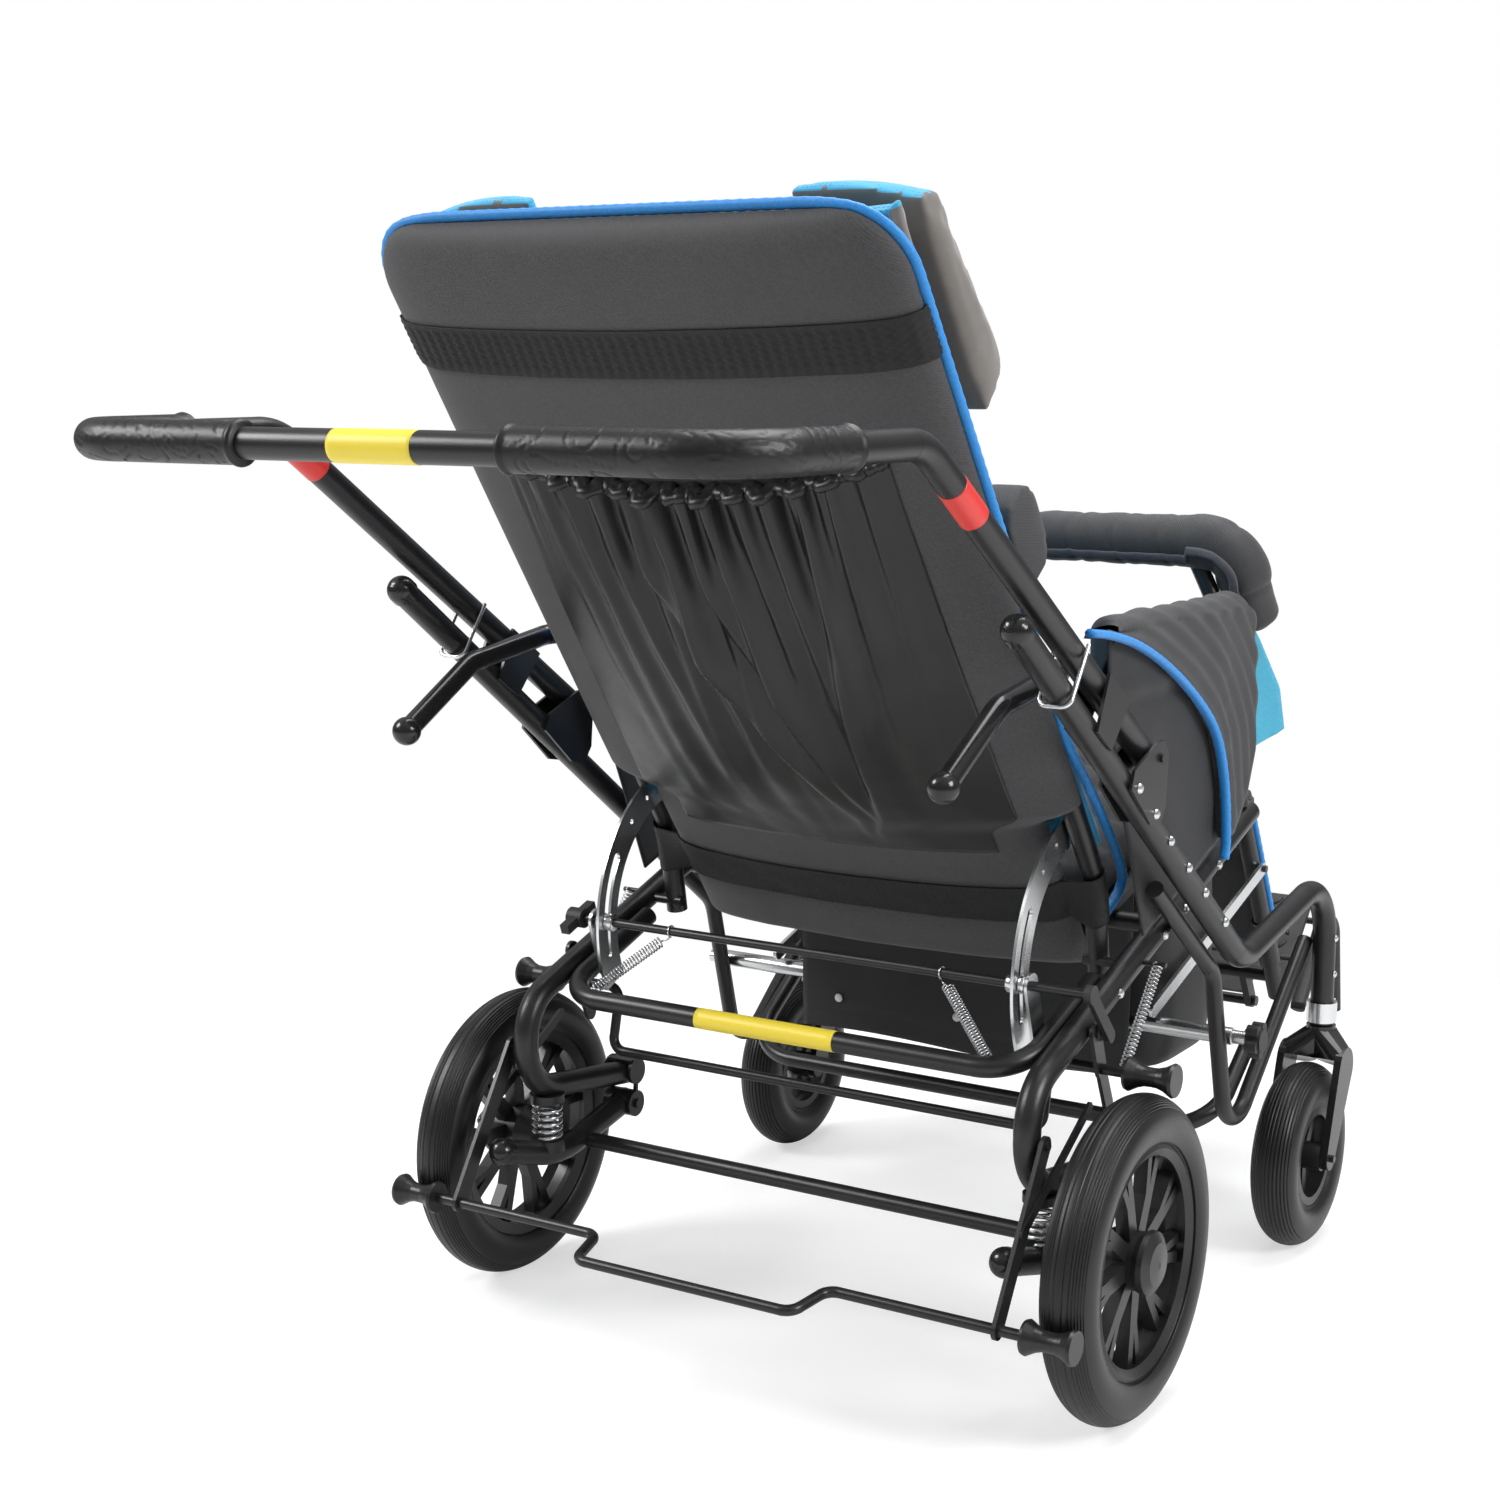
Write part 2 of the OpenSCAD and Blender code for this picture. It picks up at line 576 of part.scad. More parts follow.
// A layer that follows the rear of the backrest, given by its rows of heights and its share of the width
function even_rows(z0, z1, n) = [for (j = [0:n]) z0 + (z1 - z0) * j / n];
module back_layer(rows, share, inner, thick, nx, folds = 0) {
    nz = len(rows) - 1;
    z0 = rows[0];
    z1 = rows[nz];
    cols = [for (i = [0:nx]) -1 + 2 * i / nx];
    m = nx + 1;
    base = m * (nz + 1);
    skin = [for (z = rows, u = cols) let (v = (z - z0) / (z1 - z0),
            belly = folds == 0 ? 1 : 0.3 + 0.7 * pow(max(0, 1 - u * u), 0.5) * sin(25 + 130 * (1 - v))
                + 0.16 * v * cos(360 * folds * u) * (1 - pow(u, 6)))
        [share * u * panel_half(z), panel_front - (inner < 0 ? 0 : panel_out(share * u, z) + inner)
            - (inner < 0 ? panel_out(u, z) : thick * belly), z]];
    seat = [for (z = rows, u = cols)
        [share * u * panel_half(z), panel_front - (inner < 0 ? 0 : panel_out(share * u, z) + inner), z]];
    cells = [for (j = [0:nz - 1], i = [0:nx - 1]) let (p = j * m + i)
        each [[p, p + m + 1, p + 1], [p, p + m, p + m + 1],
              [base + p, base + p + 1, base + p + m + 1], [base + p, base + p + m + 1, base + p + m]]];
    rim = concat([for (i = [0:nx]) i], [for (j = [1:nz]) j * m + nx],
                 [for (i = [nx - 1:-1:0]) nz * m + i], [for (j = [nz - 1:-1:1]) j * m]);
    wall = [for (k = [0:len(rim) - 1]) let (p = rim[k], q = rim[(k + 1) % len(rim)])
        each [[p, q, base + q], [p, base + q, base + p]]];
    polyhedron(concat(skin, seat), concat(cells, wall), convexity = 6);
}
module back_panel() {
    rows = concat(even_rows(panel_low, panel_step - 24, 3), even_rows(panel_step, panel_high, 9));
    color("#2f2f31") leaned() back_layer(rows, 1, -1, 0, 12);
}
module back_pocket() {
    rows = concat([133, panel_step - 24], even_rows(panel_step, 585, 6));
    color("#262628") leaned() back_layer(rows, 0.8, gap, 26, 24, folds = 6);
}
// Webbing bands across the back
module back_straps() {
    color("#101011") leaned() {
        back_layer([682, 728], 0.96, 2 * gap, 3, 12);
        back_layer([34, 82], 0.96, 2 * gap, 3, 12);
    }
}
cushion_t = 36;
module back_cushion() {
    color("#3a3a3d") leaned() translate([0, back_ahead + back_d / 2 + gap, 446]) rotate([90, 0, 180])
        pad(522, 720, cushion_t, 8, 15, channels = 5);
}
// Head supports on the front of the backrest, and the trunk pads below them
module head_supports() {
    seat = back_ahead + back_d / 2 + cushion_t - 0.2;
    trunk_seat = seat - 4.1;
    inner = 125;
    color("#6b6660") leaned() both_sides() {
        intersection() {
            linear_extrude(900)
                polygon([[inner, seat], [back_x, seat], [back_x, 150], [inner + 87, 150], [inner, seat + 22]]);
            rotate([90, 0, 90]) linear_extrude(300)
                polygon([[seat, 800], [130, 785], [152, 745], [150, 640], [131, 585], [seat, 575]]);
        }
        translate([200, trunk_seat, 380]) cube([44, 66, 96]);
    }
}
// Bent lifting handles on the back tubes, with ball ends
handle_x = back_x + 36;
module back_handles() {
    end = [handle_x, -182, 409.5];
    color("#161617") leaned() both_sides() {
        bent_tube([[back_x + back_d / 2 + gap, back_ahead, 338], [handle_x, back_ahead, 338],
                   [handle_x, -72, 398], end], [0, 16, 40, 0], 20);
        translate([back_x + back_d / 2 + gap, back_ahead, 338]) rotate([0, 90, 0]) cylinder(d = 21.4, h = 5);
        translate(end) sphere(d = 27);
    }
}
// Quadrants: slotted arc plates on the inner sides of the back tubes
rod_at_rest = rod_turn - 90 - back_lean;
slot_from = rod_at_rest - 27;
slot_to = rod_at_rest + 14;
function arc(r, a0, a1, steps) =
    [for (i = [0:steps]) let (a = a0 + (a1 - a0) * i / steps) [-r * sin(a), r * cos(a)]];
module sector(r0, r1, a0, a1) {
    intersection() {
        difference() {
            circle(r = r1, $fn = 96);
            circle(r = r0, $fn = 96);
        }
        polygon(concat([[0, 0]], arc(400, a0, a1, 8)));
    }
}
module quadrants() {
    slot = rod_d + 2 * gap + 0.4;
    color("silver") leaned() both_sides() translate([quadrant_x, 0, 0]) rotate([90, 0, 90])
        linear_extrude(quadrant_t) difference() {
            sector(quadrant_r - 17, quadrant_r + 15, -17, 80);
            sector(quadrant_r - slot / 2, quadrant_r + slot / 2, slot_from, slot_to);
            for (a = [slot_from, slot_to])
                translate([-quadrant_r * sin(a), quadrant_r * cos(a)]) circle(d = slot);
            for (a = [-6, 8]) translate([-quadrant_r * sin(a), quadrant_r * cos(a)]) circle(d = 6);
        }
}

// Wing knob on the left end of the lock rod and the strap lever on the right
module wing_knob() {
    x = -rod_left - gap;
    color("#161617") {
        cross_bar(rod_place, x - 18, x, 20);
        for (s = [0, 180]) translate([x - 18, rod_place.y, rod_place.z]) rotate([s + 20, 0, 0])
            translate([4, 7, -5]) cube([10, 18, 10]);
    }
}
module recline_lever() {
    x = rod_right + gap;
    color("#161617") {
        cross_bar(rod_place, x, x + 7, 18);
        flat_link(rod_place, rod_place + [0, 44, -48], 13, x + 1, x + 6);
    }
}

// Rear axle: two swing arms, stub axles and the axle tube welded between them
arm_end = at(rail_x, -106, 166);
hub_in = wheel_x - 34;
module rear_axle() {
    color("#1c1c1e") {
        both_sides() {
            difference() {
                union() {
                    bent_tube([arm_end, at(rail_x, -20, 141), arm_pivot + [0, 7, 1.6]], [0, 120, 0], rail_d);
                    cross_bar(arm_pivot, rail_x - arm_cheek + gap, rail_x + arm_cheek - gap, 28);
                }
                cross_bar(arm_pivot, rail_x - 30, rail_x + 30, pin_d + 2 * run_fit);
            }
            cross_bar(at(0, 0, axle_z), rail_x, wheel_x + 24, wheel_pin_d);
            cross_bar(at(0, 0, axle_z), rail_x + 2, hub_in - gap, 21);
            translate(at(rail_x, spring_ahead, 150)) cylinder(d = 36, h = 12.2);
        }
        cross_bar(at(0, 20, 147), -rail_x, rail_x, 16);
    }
}
module arm_caps() {
    color("#0e0e0e") both_sides()
        round_cap(arm_end, unit(arm_end - at(rail_x, -20, 141)), rail_d / 2 + 1.5);
}
module suspension_springs() {
    color("silver") both_sides() coil(at(rail_x, spring_ahead, 162.2 + gap),
                                      at(rail_x, spring_ahead, spring_top - gap),
                                      28, suspension_wire_d, 5);
}

// Rear wheels: grooved tyre on a spoked rim with a domed hub cap
rim_radius = axle_z * 0.72;
module tyre_profile(r, w, bead, grooves) {
    crown = w / 2;
    difference() {
        union() {
            translate([r - crown, 0]) circle(r = crown);
            translate([bead, -w * 0.36]) square([r - crown - bead, w * 0.72]);
        }
        translate([bead - w, -w]) square([w, 2 * w]);
        for (k = grooves) translate([r - crown, 0]) rotate(k) translate([crown, 0])
            square([3, 2], center = true);
    }
}
module rear_tyre(side) {
    translate(at(side * wheel_x, 0, axle_z)) rotate([0, 90, 0]) rotate_extrude()
        tyre_profile(axle_z, rear_tyre_w, rim_radius, [-72, -56, -40, 40, 56, 72]);
}
hub_bore = wheel_pin_d + 2 * run_fit;
module spoke(r0, r1) {
    mid = r0 + (r1 - r0) * 0.45;
    polygon([[r0, -8], [mid, -11], [r1, -15], [r1, -5], [mid + 8, -2], [r1, 5], [r1, 14], [mid, 4], [r0, 8]]);
}
module rear_rim(side) {
    hw = rear_tyre_w * 0.36;
    hub_r = 27;
    color("#18181a") translate(at(side * wheel_x, 0, axle_z)) rotate([0, side * 90, 0]) difference() {
        union() {
            rotate_extrude()
                polygon([[rim_radius - 12, -hw + 3], [rim_radius - gap, -hw], [rim_radius - gap, hw],
                         [rim_radius - 5, hw + 2], [rim_radius - 12, hw - 3], [rim_radius - 7, 6],
                         [rim_radius - 7, -6]]);
            rotate_extrude()
                polygon([[0, -34], [16, -34], [hub_r, -14], [hub_r, 14], [30, 20], [29, 25], [20, 30], [0, 32]]);
            for (i = [0:spoke_count - 1]) rotate(360 * i / spoke_count)
                translate([0, 0, -4]) linear_extrude(13) spoke(hub_r - 3, rim_radius - 5);
        }
        translate([0, 0, -40]) cylinder(d = hub_bore, h = 40 + 24.6);
    }
}
module rear_tyre_r() { color("#141414") rear_tyre(1); }
module rear_tyre_l() { color("#141414") rear_tyre(-1); }
module rear_rim_r() { rear_rim(1); }
module rear_rim_l() { rear_rim(-1); }

// Castors: moulded fork with a stem, and a tyre on a small spoked rim
fork_leg = castor_w / 2 + 3;
fork_t = 8;
castor_y = stem_y - castor_trail;
castor_pin_d = 8;
module castor_fork(side) {
    crown = stem_base_z - 1;
    color("#161617") translate([side * frame_x, 0, 0]) {
        difference() {
            union() {
                translate([0, stem_y, crown - 12]) cylinder(d = 32, h = 12);
                translate([0, stem_y, crown - 6]) cylinder(d = wheel_pin_d, h = stem_in);
                for (s = [-1, 1]) {
                    hull() {
                        translate([s * (fork_leg + fork_t / 2), castor_y, castor_radius]) rotate([0, 90, 0])
                            cylinder(d = 26, h = fork_t, center = true, $fn = 24);
                        translate([s * (fork_leg + fork_t / 2), stem_y - 16, 192]) rotate([0, 90, 0])
                            cylinder(d = 44, h = fork_t, center = true, $fn = 24);
                    }
                    hull() {
                        translate([s * (fork_leg + fork_t / 2), stem_y - 16, 192]) rotate([0, 90, 0])
                            cylinder(d = 42, h = fork_t - 0.5, center = true, $fn = 24);
                        translate([0, stem_y, crown - 24]) cylinder(d = 34, h = 20, $fn = 24);
                    }
                }
            }
            translate([0, castor_y, castor_radius]) rotate([0, 90, 0])
                cylinder(r = castor_radius + 5, h = 2 * fork_leg, center = true);
        }
        cross_bar([0, castor_y, castor_radius], -fork_leg - fork_t - 4, fork_leg + fork_t + 4, castor_pin_d);
    }
}
castor_rim = 54;
module castor_tyre(side) {
    translate([side * frame_x, castor_y, castor_radius]) rotate([0, 90, 0]) rotate_extrude()
        tyre_profile(castor_radius, castor_w, castor_rim, [-42, -14, 14, 42]);
}
module castor_wheel(side) {
    hw = castor_w * 0.36;
    color("#18181a") translate([side * frame_x, castor_y, castor_radius]) rotate([0, side * 90, 0])
    difference() {
        union() {
            rotate_extrude() polygon([[castor_rim - 9, -hw], [castor_rim - gap, -hw], [castor_rim - gap, hw],
                                      [castor_rim - 9, hw], [castor_rim - 5, 0]]);
            translate([0, 0, -fork_leg + 1]) cylinder(d = 30, h = 2 * fork_leg - 2);
            for (i = [0:4]) rotate(72 * i) translate([10, -6, -7]) cube([castor_rim - 14, 12, 14]);
        }
        translate([0, 0, -45]) cylinder(d = castor_pin_d + 2 * run_fit, h = 90);
    }
}
module castor_fork_r() { castor_fork(1); }
module castor_fork_l() { castor_fork(-1); }
module castor_tyre_r() { color("#141414") castor_tyre(1); }
module castor_tyre_l() { color("#141414") castor_tyre(-1); }
module castor_rim_r() { castor_wheel(1); }
module castor_rim_l() { castor_wheel(-1); }

// Foot brake: a cranked bar on two levers, with a spool behind each tyre
brake_d = 10;
lever_x = rail_x + rail_d / 2 + 3;
lever_t = 4;
foot_bar = at(0, -160, 126);
module spool(place) {
    half = 24;
    translate([wheel_x, place.y, place.z]) rotate([0, 90, 0]) rotate_extrude()
        polygon([[0, -half], [15, -half], [16, -half + 3], [11.5, -half + 11], [9.3, -half + 18], [9, 0],
                 [9.3, half - 18], [11.5, half - 11], [16, half - 3], [15, half], [0, half]]);
}
module foot_brake() {
    pedal = [[wheel_x, foot_bar.y, foot_bar.z], [128, foot_bar.y, foot_bar.z], at(118, -208, 119)];
    path = concat(pedal, [for (i = [2:-1:0]) [-pedal[i].x, pedal[i].y, pedal[i].z]]);
    color("#1a1a1b") {
        bent_tube(path, 14, brake_d);
        both_sides() {
            spool(foot_bar);
            difference() {
                flat_link([0, brake_pivot.y, brake_pivot.z], foot_bar, 18, lever_x, lever_x + lever_t);
                cross_bar(brake_pivot, lever_x - 1, lever_x + lever_t + 1, small_pin_d + 2 * run_fit);
            }
            flat_link(at(0, -120, 200), at(0, 14, 280), 9, lever_x + lever_t - 0.5, lever_x + lever_t + 2.5);
        }
    }
}

// Tyre brake: a rod on two cranks, with a spool above each tyre
tyre_bar = at(0, 44, 308);
module tyre_brake() {
    turn_x = 245;
    path = [at(wheel_x, 44, 308), at(turn_x, 44, 308), at(turn_x, 30, 245), at(-turn_x, 30, 245),
            at(-turn_x, 44, 308), at(-wheel_x, 44, 308)];
    color("#1a1a1b") {
        bent_tube(path, 14, brake_d);
        both_sides() {
            spool(tyre_bar);
            difference() {
                union() {
                    flat_link([0, crank_pivot.y, crank_pivot.z], tyre_bar, 18, lever_x, lever_x + lever_t);
                    flat_link(tyre_bar, at(0, 62, 270), 15, lever_x, lever_x + lever_t);
                }
                cross_bar(crank_pivot, lever_x - 1, lever_x + lever_t + 1, small_pin_d + 2 * run_fit);
            }
        }
    }
}

// Legrest: two leg tubes on the hinge bar, with cross tubes, strut pins and the footplate's bar
leg_way = [0, sin(leg_lean), -cos(leg_lean)];
leg_x = 215;
leg_d = 20;
foot_hinge = hinge_bar + leg_len * leg_way;
strut_pin = hinge_bar + 97 * leg_way;
link_inner = 176;
module legrest() {
    color("#1c1c1e") difference() {
        union() {
            both_sides() {
                straight(hinge_bar + [leg_x, 0, 0], foot_hinge + [leg_x, 0, 0] - 16 * leg_way, leg_d);
                straight(hinge_bar + [leg_x, 0, 0] + 175 * leg_way, hinge_bar + [leg_x, 0, 0] + 240 * leg_way,
                         leg_d + 4);
                cross_bar(hinge_bar, leg_x - 11, leg_x + 11, 26);
                cross_bar(strut_pin, leg_x, leg_x + 18, small_pin_d);
                flat_link(hinge_bar + 262 * leg_way, foot_hinge, 16, link_inner, link_inner + 8);
            }
            for (s = [60, 262]) cross_bar(hinge_bar + s * leg_way, -leg_x, leg_x, 16);
            cross_bar(foot_hinge, -188, 188, wheel_pin_d);
        }
        cross_bar(hinge_bar, -leg_x - 30, leg_x + 30, wheel_pin_d + 2 * run_fit);
    }
}
module leg_pad() {
    color("#2b2b2d") translate(hinge_bar + 130 * leg_way) rotate([leg_lean - 90, 0, 0])
        translate([0, 0, leg_d / 2 + 2 + gap]) pad(450, 210, 22, 6, 9, channels = 3);
}
strut_foot = at(0, 328, 289);
module leg_struts() {
    x = leg_x + leg_d / 2 + 1;
    color("silver") both_sides() difference() {
        flat_link([0, strut_pin.y, strut_pin.z], strut_foot, 14, x, x + 4);
        cross_bar(strut_pin, x - 1, x + 5, small_pin_d + 2 * run_fit);
    }
}

// Footplate with its guard loops, on two knuckles
guard_d = 18;
module footplate() {
    sheet = 6;
    guard_x = leg_x + leg_d / 2 + 2 + guard_d / 2 + 2 * gap;
    color("#1a1a1b") difference() {
        union() {
            translate(foot_hinge) rotate([foot_slope, 0, 0]) translate([0, 10, -sheet / 2])
                linear_extrude(sheet) difference() {
                    translate([-foot_w / 2, 0]) square([foot_w, foot_l]);
                    both_sides() translate([link_inner - 2, -1]) square([foot_w, 27]);
                }
            for (x = [-70, 50]) {
                cross_bar(foot_hinge, x, x + 20, 22);
                translate([x, foot_hinge.y, foot_hinge.z]) rotate([foot_slope, 0, 0])
                    translate([1, 0, -2]) cube([18, 20, 4]);
            }
            both_sides() bent_tube([at(guard_x, 742, 200), at(guard_x, 850, 322), at(guard_x, 872, 170)],
                                   26, guard_d);
            cross_bar(at(0, 784, 247), -guard_x, guard_x, 12);
            cross_bar(at(0, 857, 280), -guard_x, guard_x, 8);
        }
        cross_bar(foot_hinge, -foot_w, foot_w, wheel_pin_d + 2 * run_fit);
    }
}

side_frame_r();
side_frame_l();
front_hoops();
seat_rail_r();
seat_rail_l();
seat_frame();
recline_bar();
rod_links();
lock_rod();
recline_springs();
frame_caps();
frame_brackets();
frame_rivets();
castor_collars();
leg_shaft();
star_knob();
seat_board();
seat_cushion();
side_panel_r();
side_panel_l();
bumper_tube();
bumper_pad();
bumper_flap();
arm_pads();
basket();
brake_springs();
push_handle();
handle_grips();
handle_saddles();
lock_clip_r();
lock_clip_l();
back_frame();
back_panel();
back_cushion();
back_pocket();
back_straps();
head_supports();
back_handles();
quadrants();
wing_knob();
recline_lever();
rear_axle();
arm_caps();
suspension_springs();
rear_tyre_r();
rear_rim_r();
rear_tyre_l();
rear_rim_l();
castor_fork_r();
castor_tyre_r();
castor_rim_r();
castor_fork_l();
castor_tyre_l();
castor_rim_l();
foot_brake();
tyre_brake();
legrest();
leg_pad();
leg_struts();
footplate();
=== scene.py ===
import math

import bpy
import numpy as np
from mathutils import Matrix, Vector, noise


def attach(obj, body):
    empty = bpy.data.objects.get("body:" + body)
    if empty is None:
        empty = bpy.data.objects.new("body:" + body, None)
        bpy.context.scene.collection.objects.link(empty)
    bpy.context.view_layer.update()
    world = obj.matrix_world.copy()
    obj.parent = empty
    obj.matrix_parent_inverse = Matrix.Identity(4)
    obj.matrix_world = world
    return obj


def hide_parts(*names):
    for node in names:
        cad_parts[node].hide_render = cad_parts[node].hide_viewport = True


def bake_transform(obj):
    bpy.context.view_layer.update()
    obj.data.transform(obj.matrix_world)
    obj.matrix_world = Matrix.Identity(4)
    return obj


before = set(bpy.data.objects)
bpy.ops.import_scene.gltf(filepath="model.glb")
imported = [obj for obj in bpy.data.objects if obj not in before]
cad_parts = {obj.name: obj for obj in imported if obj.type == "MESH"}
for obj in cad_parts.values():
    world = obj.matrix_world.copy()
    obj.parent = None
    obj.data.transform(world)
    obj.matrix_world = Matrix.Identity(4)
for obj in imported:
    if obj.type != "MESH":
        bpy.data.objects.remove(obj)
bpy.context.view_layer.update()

# Studio: a pale floor that runs out to white on every side, under three soft boxes.
# The floor shows white where it is lit and keeps the soft shadow under the wheels.
scene = bpy.context.scene
scene.view_settings.view_transform = "Standard"


def add(tree, kind, inputs=None, **settings):
    """A shader node with its settings, and its inputs joined to sockets or set to values."""
    node = tree.nodes.new("ShaderNode" + kind)
    for key, value in settings.items():
        setattr(node, key, value)
    for socket, value in (inputs or {}).items():
        if isinstance(value, bpy.types.NodeSocket):
            tree.links.new(value, node.inputs[socket])
        else:
            node.inputs[socket].default_value = value
    return node


def empty_tree(owner):
    owner.use_nodes = True
    owner.node_tree.nodes.clear()
    return owner.node_tree


def seen_directly(tree):
    path = add(tree, "LightPath")
    rays = {0: path.outputs["Is Camera Ray"], 1: path.outputs["Is Transmission Ray"]}
    return add(tree, "Math", rays, operation="MAXIMUM").outputs[0]


white = (1.0, 1.0, 1.0, 1.0)
floor_paint = bpy.data.materials.new("floor_paint")
tree = empty_tree(floor_paint)
bounce = add(tree, "BsdfDiffuse", {"Color": (0.8, 0.8, 0.8, 1.0)})
shadow_catch = add(tree, "BsdfDiffuse", {"Color": (0.55, 0.55, 0.56, 1.0)})
floor_glow = add(tree, "Emission", {"Color": white, "Strength": 0.55})
lit_floor = add(tree, "AddShader", {0: shadow_catch.outputs[0], 1: floor_glow.outputs[0]})
plain_white = add(tree, "Emission", {"Color": white, "Strength": 1.0})
spot = add(tree, "NewGeometry").outputs["Position"]
from_middle = add(tree, "VectorMath", {0: spot}, operation="LENGTH").outputs["Value"]
running_out = add(tree, "MapRange", {"Value": from_middle, "From Min": 0.75, "From Max": 1.7},
                  interpolation_type="SMOOTHSTEP")
shown_floor = add(tree, "MixShader", {0: running_out.outputs[0], 1: lit_floor.outputs[0],
                                      2: plain_white.outputs[0]})
floor_mix = add(tree, "MixShader", {0: seen_directly(tree), 1: bounce.outputs[0],
                                    2: shown_floor.outputs[0]})
add(tree, "OutputMaterial", {"Surface": floor_mix.outputs[0]})
floor_half, floor_drop = 14.0, 0.0005
floor_corners = ((-1, -1), (1, -1), (1, 1), (-1, 1))
floor_mesh = bpy.data.meshes.new("floor")
floor_mesh.from_pydata([(x * floor_half, y * floor_half, -floor_drop) for x, y in floor_corners],
                       [], [(0, 1, 2, 3)])
floor_mesh.materials.append(floor_paint)
floor = bpy.data.objects.new("floor", floor_mesh)
scene.collection.objects.link(floor)

world = bpy.data.worlds.new("white_room")
scene.world = world
tree = empty_tree(world)
sky = add(tree, "SeparateXYZ", {0: add(tree, "TexCoord").outputs["Generated"]})
overhead = add(tree, "MapRange", {"Value": sky.outputs["Z"], "From Min": -0.1, "From Max": 0.9,
                                  "To Min": 0.10, "To Max": 0.60})
room_light = add(tree, "Background", {"Color": white, "Strength": overhead.outputs[0]})
room_white = add(tree, "Background", {"Color": white, "Strength": 1.0})
room_mix = add(tree, "MixShader", {0: seen_directly(tree), 1: room_light.outputs[0],
                                   2: room_white.outputs[0]})
add(tree, "OutputWorld", {"Surface": room_mix.outputs[0]})

lit_point = Vector((0.0, 0.0, 0.55))
for light_name, place, power, width in (
    ("left_softbox", (-2.6, -2.0, 2.7), 92.0, 1.3),
    ("right_softbox", (3.2, -0.4, 2.3), 84.0, 1.3),
    ("top_softbox", (0.2, 0.7, 3.4), 80.0, 2.2),
):
    lamp = bpy.data.lights.new(light_name, "AREA")
    lamp.energy = power
    lamp.size = width
    softbox = bpy.data.objects.new(light_name, lamp)
    softbox.location = place
    softbox.rotation_euler = (lit_point - Vector(place)).to_track_quat("-Z", "Y").to_euler()
    scene.collection.objects.link(softbox)

lens = bpy.data.cameras.new("camera")
lens.lens = 58.1
lens.sensor_width = 36.0
lens.shift_x = 0.0067
lens.shift_y = -0.0107
lens.clip_end = 60.0
look = Vector((-0.533, 0.833, -0.148)).normalized()
level = Vector((0.8425, 0.5388, 0.0)).normalized()
upright = level.cross(look)
roll = math.radians(0.16)
aside = level * math.cos(roll) + upright * math.sin(roll)
above = upright * math.cos(roll) - level * math.sin(roll)
camera = bpy.data.objects.new("camera", lens)
camera.matrix_world = Matrix.Translation((1.178, -2.079, 0.941)) @ Matrix(
    ((aside.x, above.x, -look.x), (aside.y, above.y, -look.y), (aside.z, above.z, -look.z))).to_4x4()
scene.collection.objects.link(camera)
scene.camera = camera


# Tubes: steel tube bent cold, welded and powder coated in a satin black.
# The coat has a faint orange peel, a little dust on its upper sides and paler rubbed spots.
def shader_group(name, inputs, outputs):
    tree = bpy.data.node_groups.new(name, "ShaderNodeTree")
    for label, kind, value in inputs:
        socket = tree.interface.new_socket(label, in_out="INPUT", socket_type=kind)
        if value is not None:
            socket.default_value = value
    for label, kind in outputs:
        tree.interface.new_socket(label, in_out="OUTPUT", socket_type=kind)
    return tree, tree.nodes.new("NodeGroupInput"), tree.nodes.new("NodeGroupOutput")


FLOAT, VECTOR = "NodeSocketFloat", "NodeSocketVector"
fine_grain, given, result = shader_group(
    "fine_grain", [("Scale", FLOAT, 900.0), ("Patch Scale", FLOAT, 9.0)],
    [("Height", FLOAT), ("Patch", FLOAT)])
place = add(fine_grain, "TexCoord").outputs["Object"]
grain = add(fine_grain, "TexNoise", {"Vector": place, "Scale": given.outputs["Scale"], "Detail": 2.0})
patch = add(fine_grain, "TexNoise", {"Vector": place, "Scale": given.outputs["Patch Scale"],
                                     "Detail": 4.0})
fine_grain.links.new(grain.outputs["Fac"], result.inputs["Height"])
fine_grain.links.new(patch.outputs["Fac"], result.inputs["Patch"])

settled_dust, given, result = shader_group(
    "settled_dust", [("Amount", FLOAT, 0.3), ("Scale", FLOAT, 40.0)], [("Mask", FLOAT)])
facing = add(settled_dust, "SeparateXYZ", {0: add(settled_dust, "NewGeometry").outputs["Normal"]})
upper = add(settled_dust, "MapRange", {"Value": facing.outputs["Z"], "From Min": 0.35, "From Max": 1.0})
specks = add(settled_dust, "TexNoise", {"Vector": add(settled_dust, "TexCoord").outputs["Object"],
                                        "Scale": given.outputs["Scale"], "Detail": 6.0})
drift = add(settled_dust, "MapRange", {"Value": specks.outputs["Fac"], "From Min": 0.35,
                                       "From Max": 0.75})
laid = add(settled_dust, "Math", {0: upper.outputs[0], 1: drift.outputs[0]}, operation="MULTIPLY")
dust = add(settled_dust, "Math", {0: laid.outputs[0], 1: given.outputs["Amount"]}, operation="MULTIPLY")
settled_dust.links.new(dust.outputs[0], result.inputs["Mask"])


def spread(tree, factor, low, high):
    """A value or a colour that goes from low to high as the factor goes from 0 to 1."""
    if isinstance(low, (int, float)):
        return add(tree, "MapRange", {"Value": factor, "To Min": low, "To Max": high}).outputs[0]
    mix = add(tree, "Mix", data_type="RGBA")
    tree.links.new(factor, mix.inputs["Factor"])
    mix.inputs[6].default_value = (*low, 1.0)
    mix.inputs[7].default_value = (*high, 1.0)
    return mix.outputs[2]


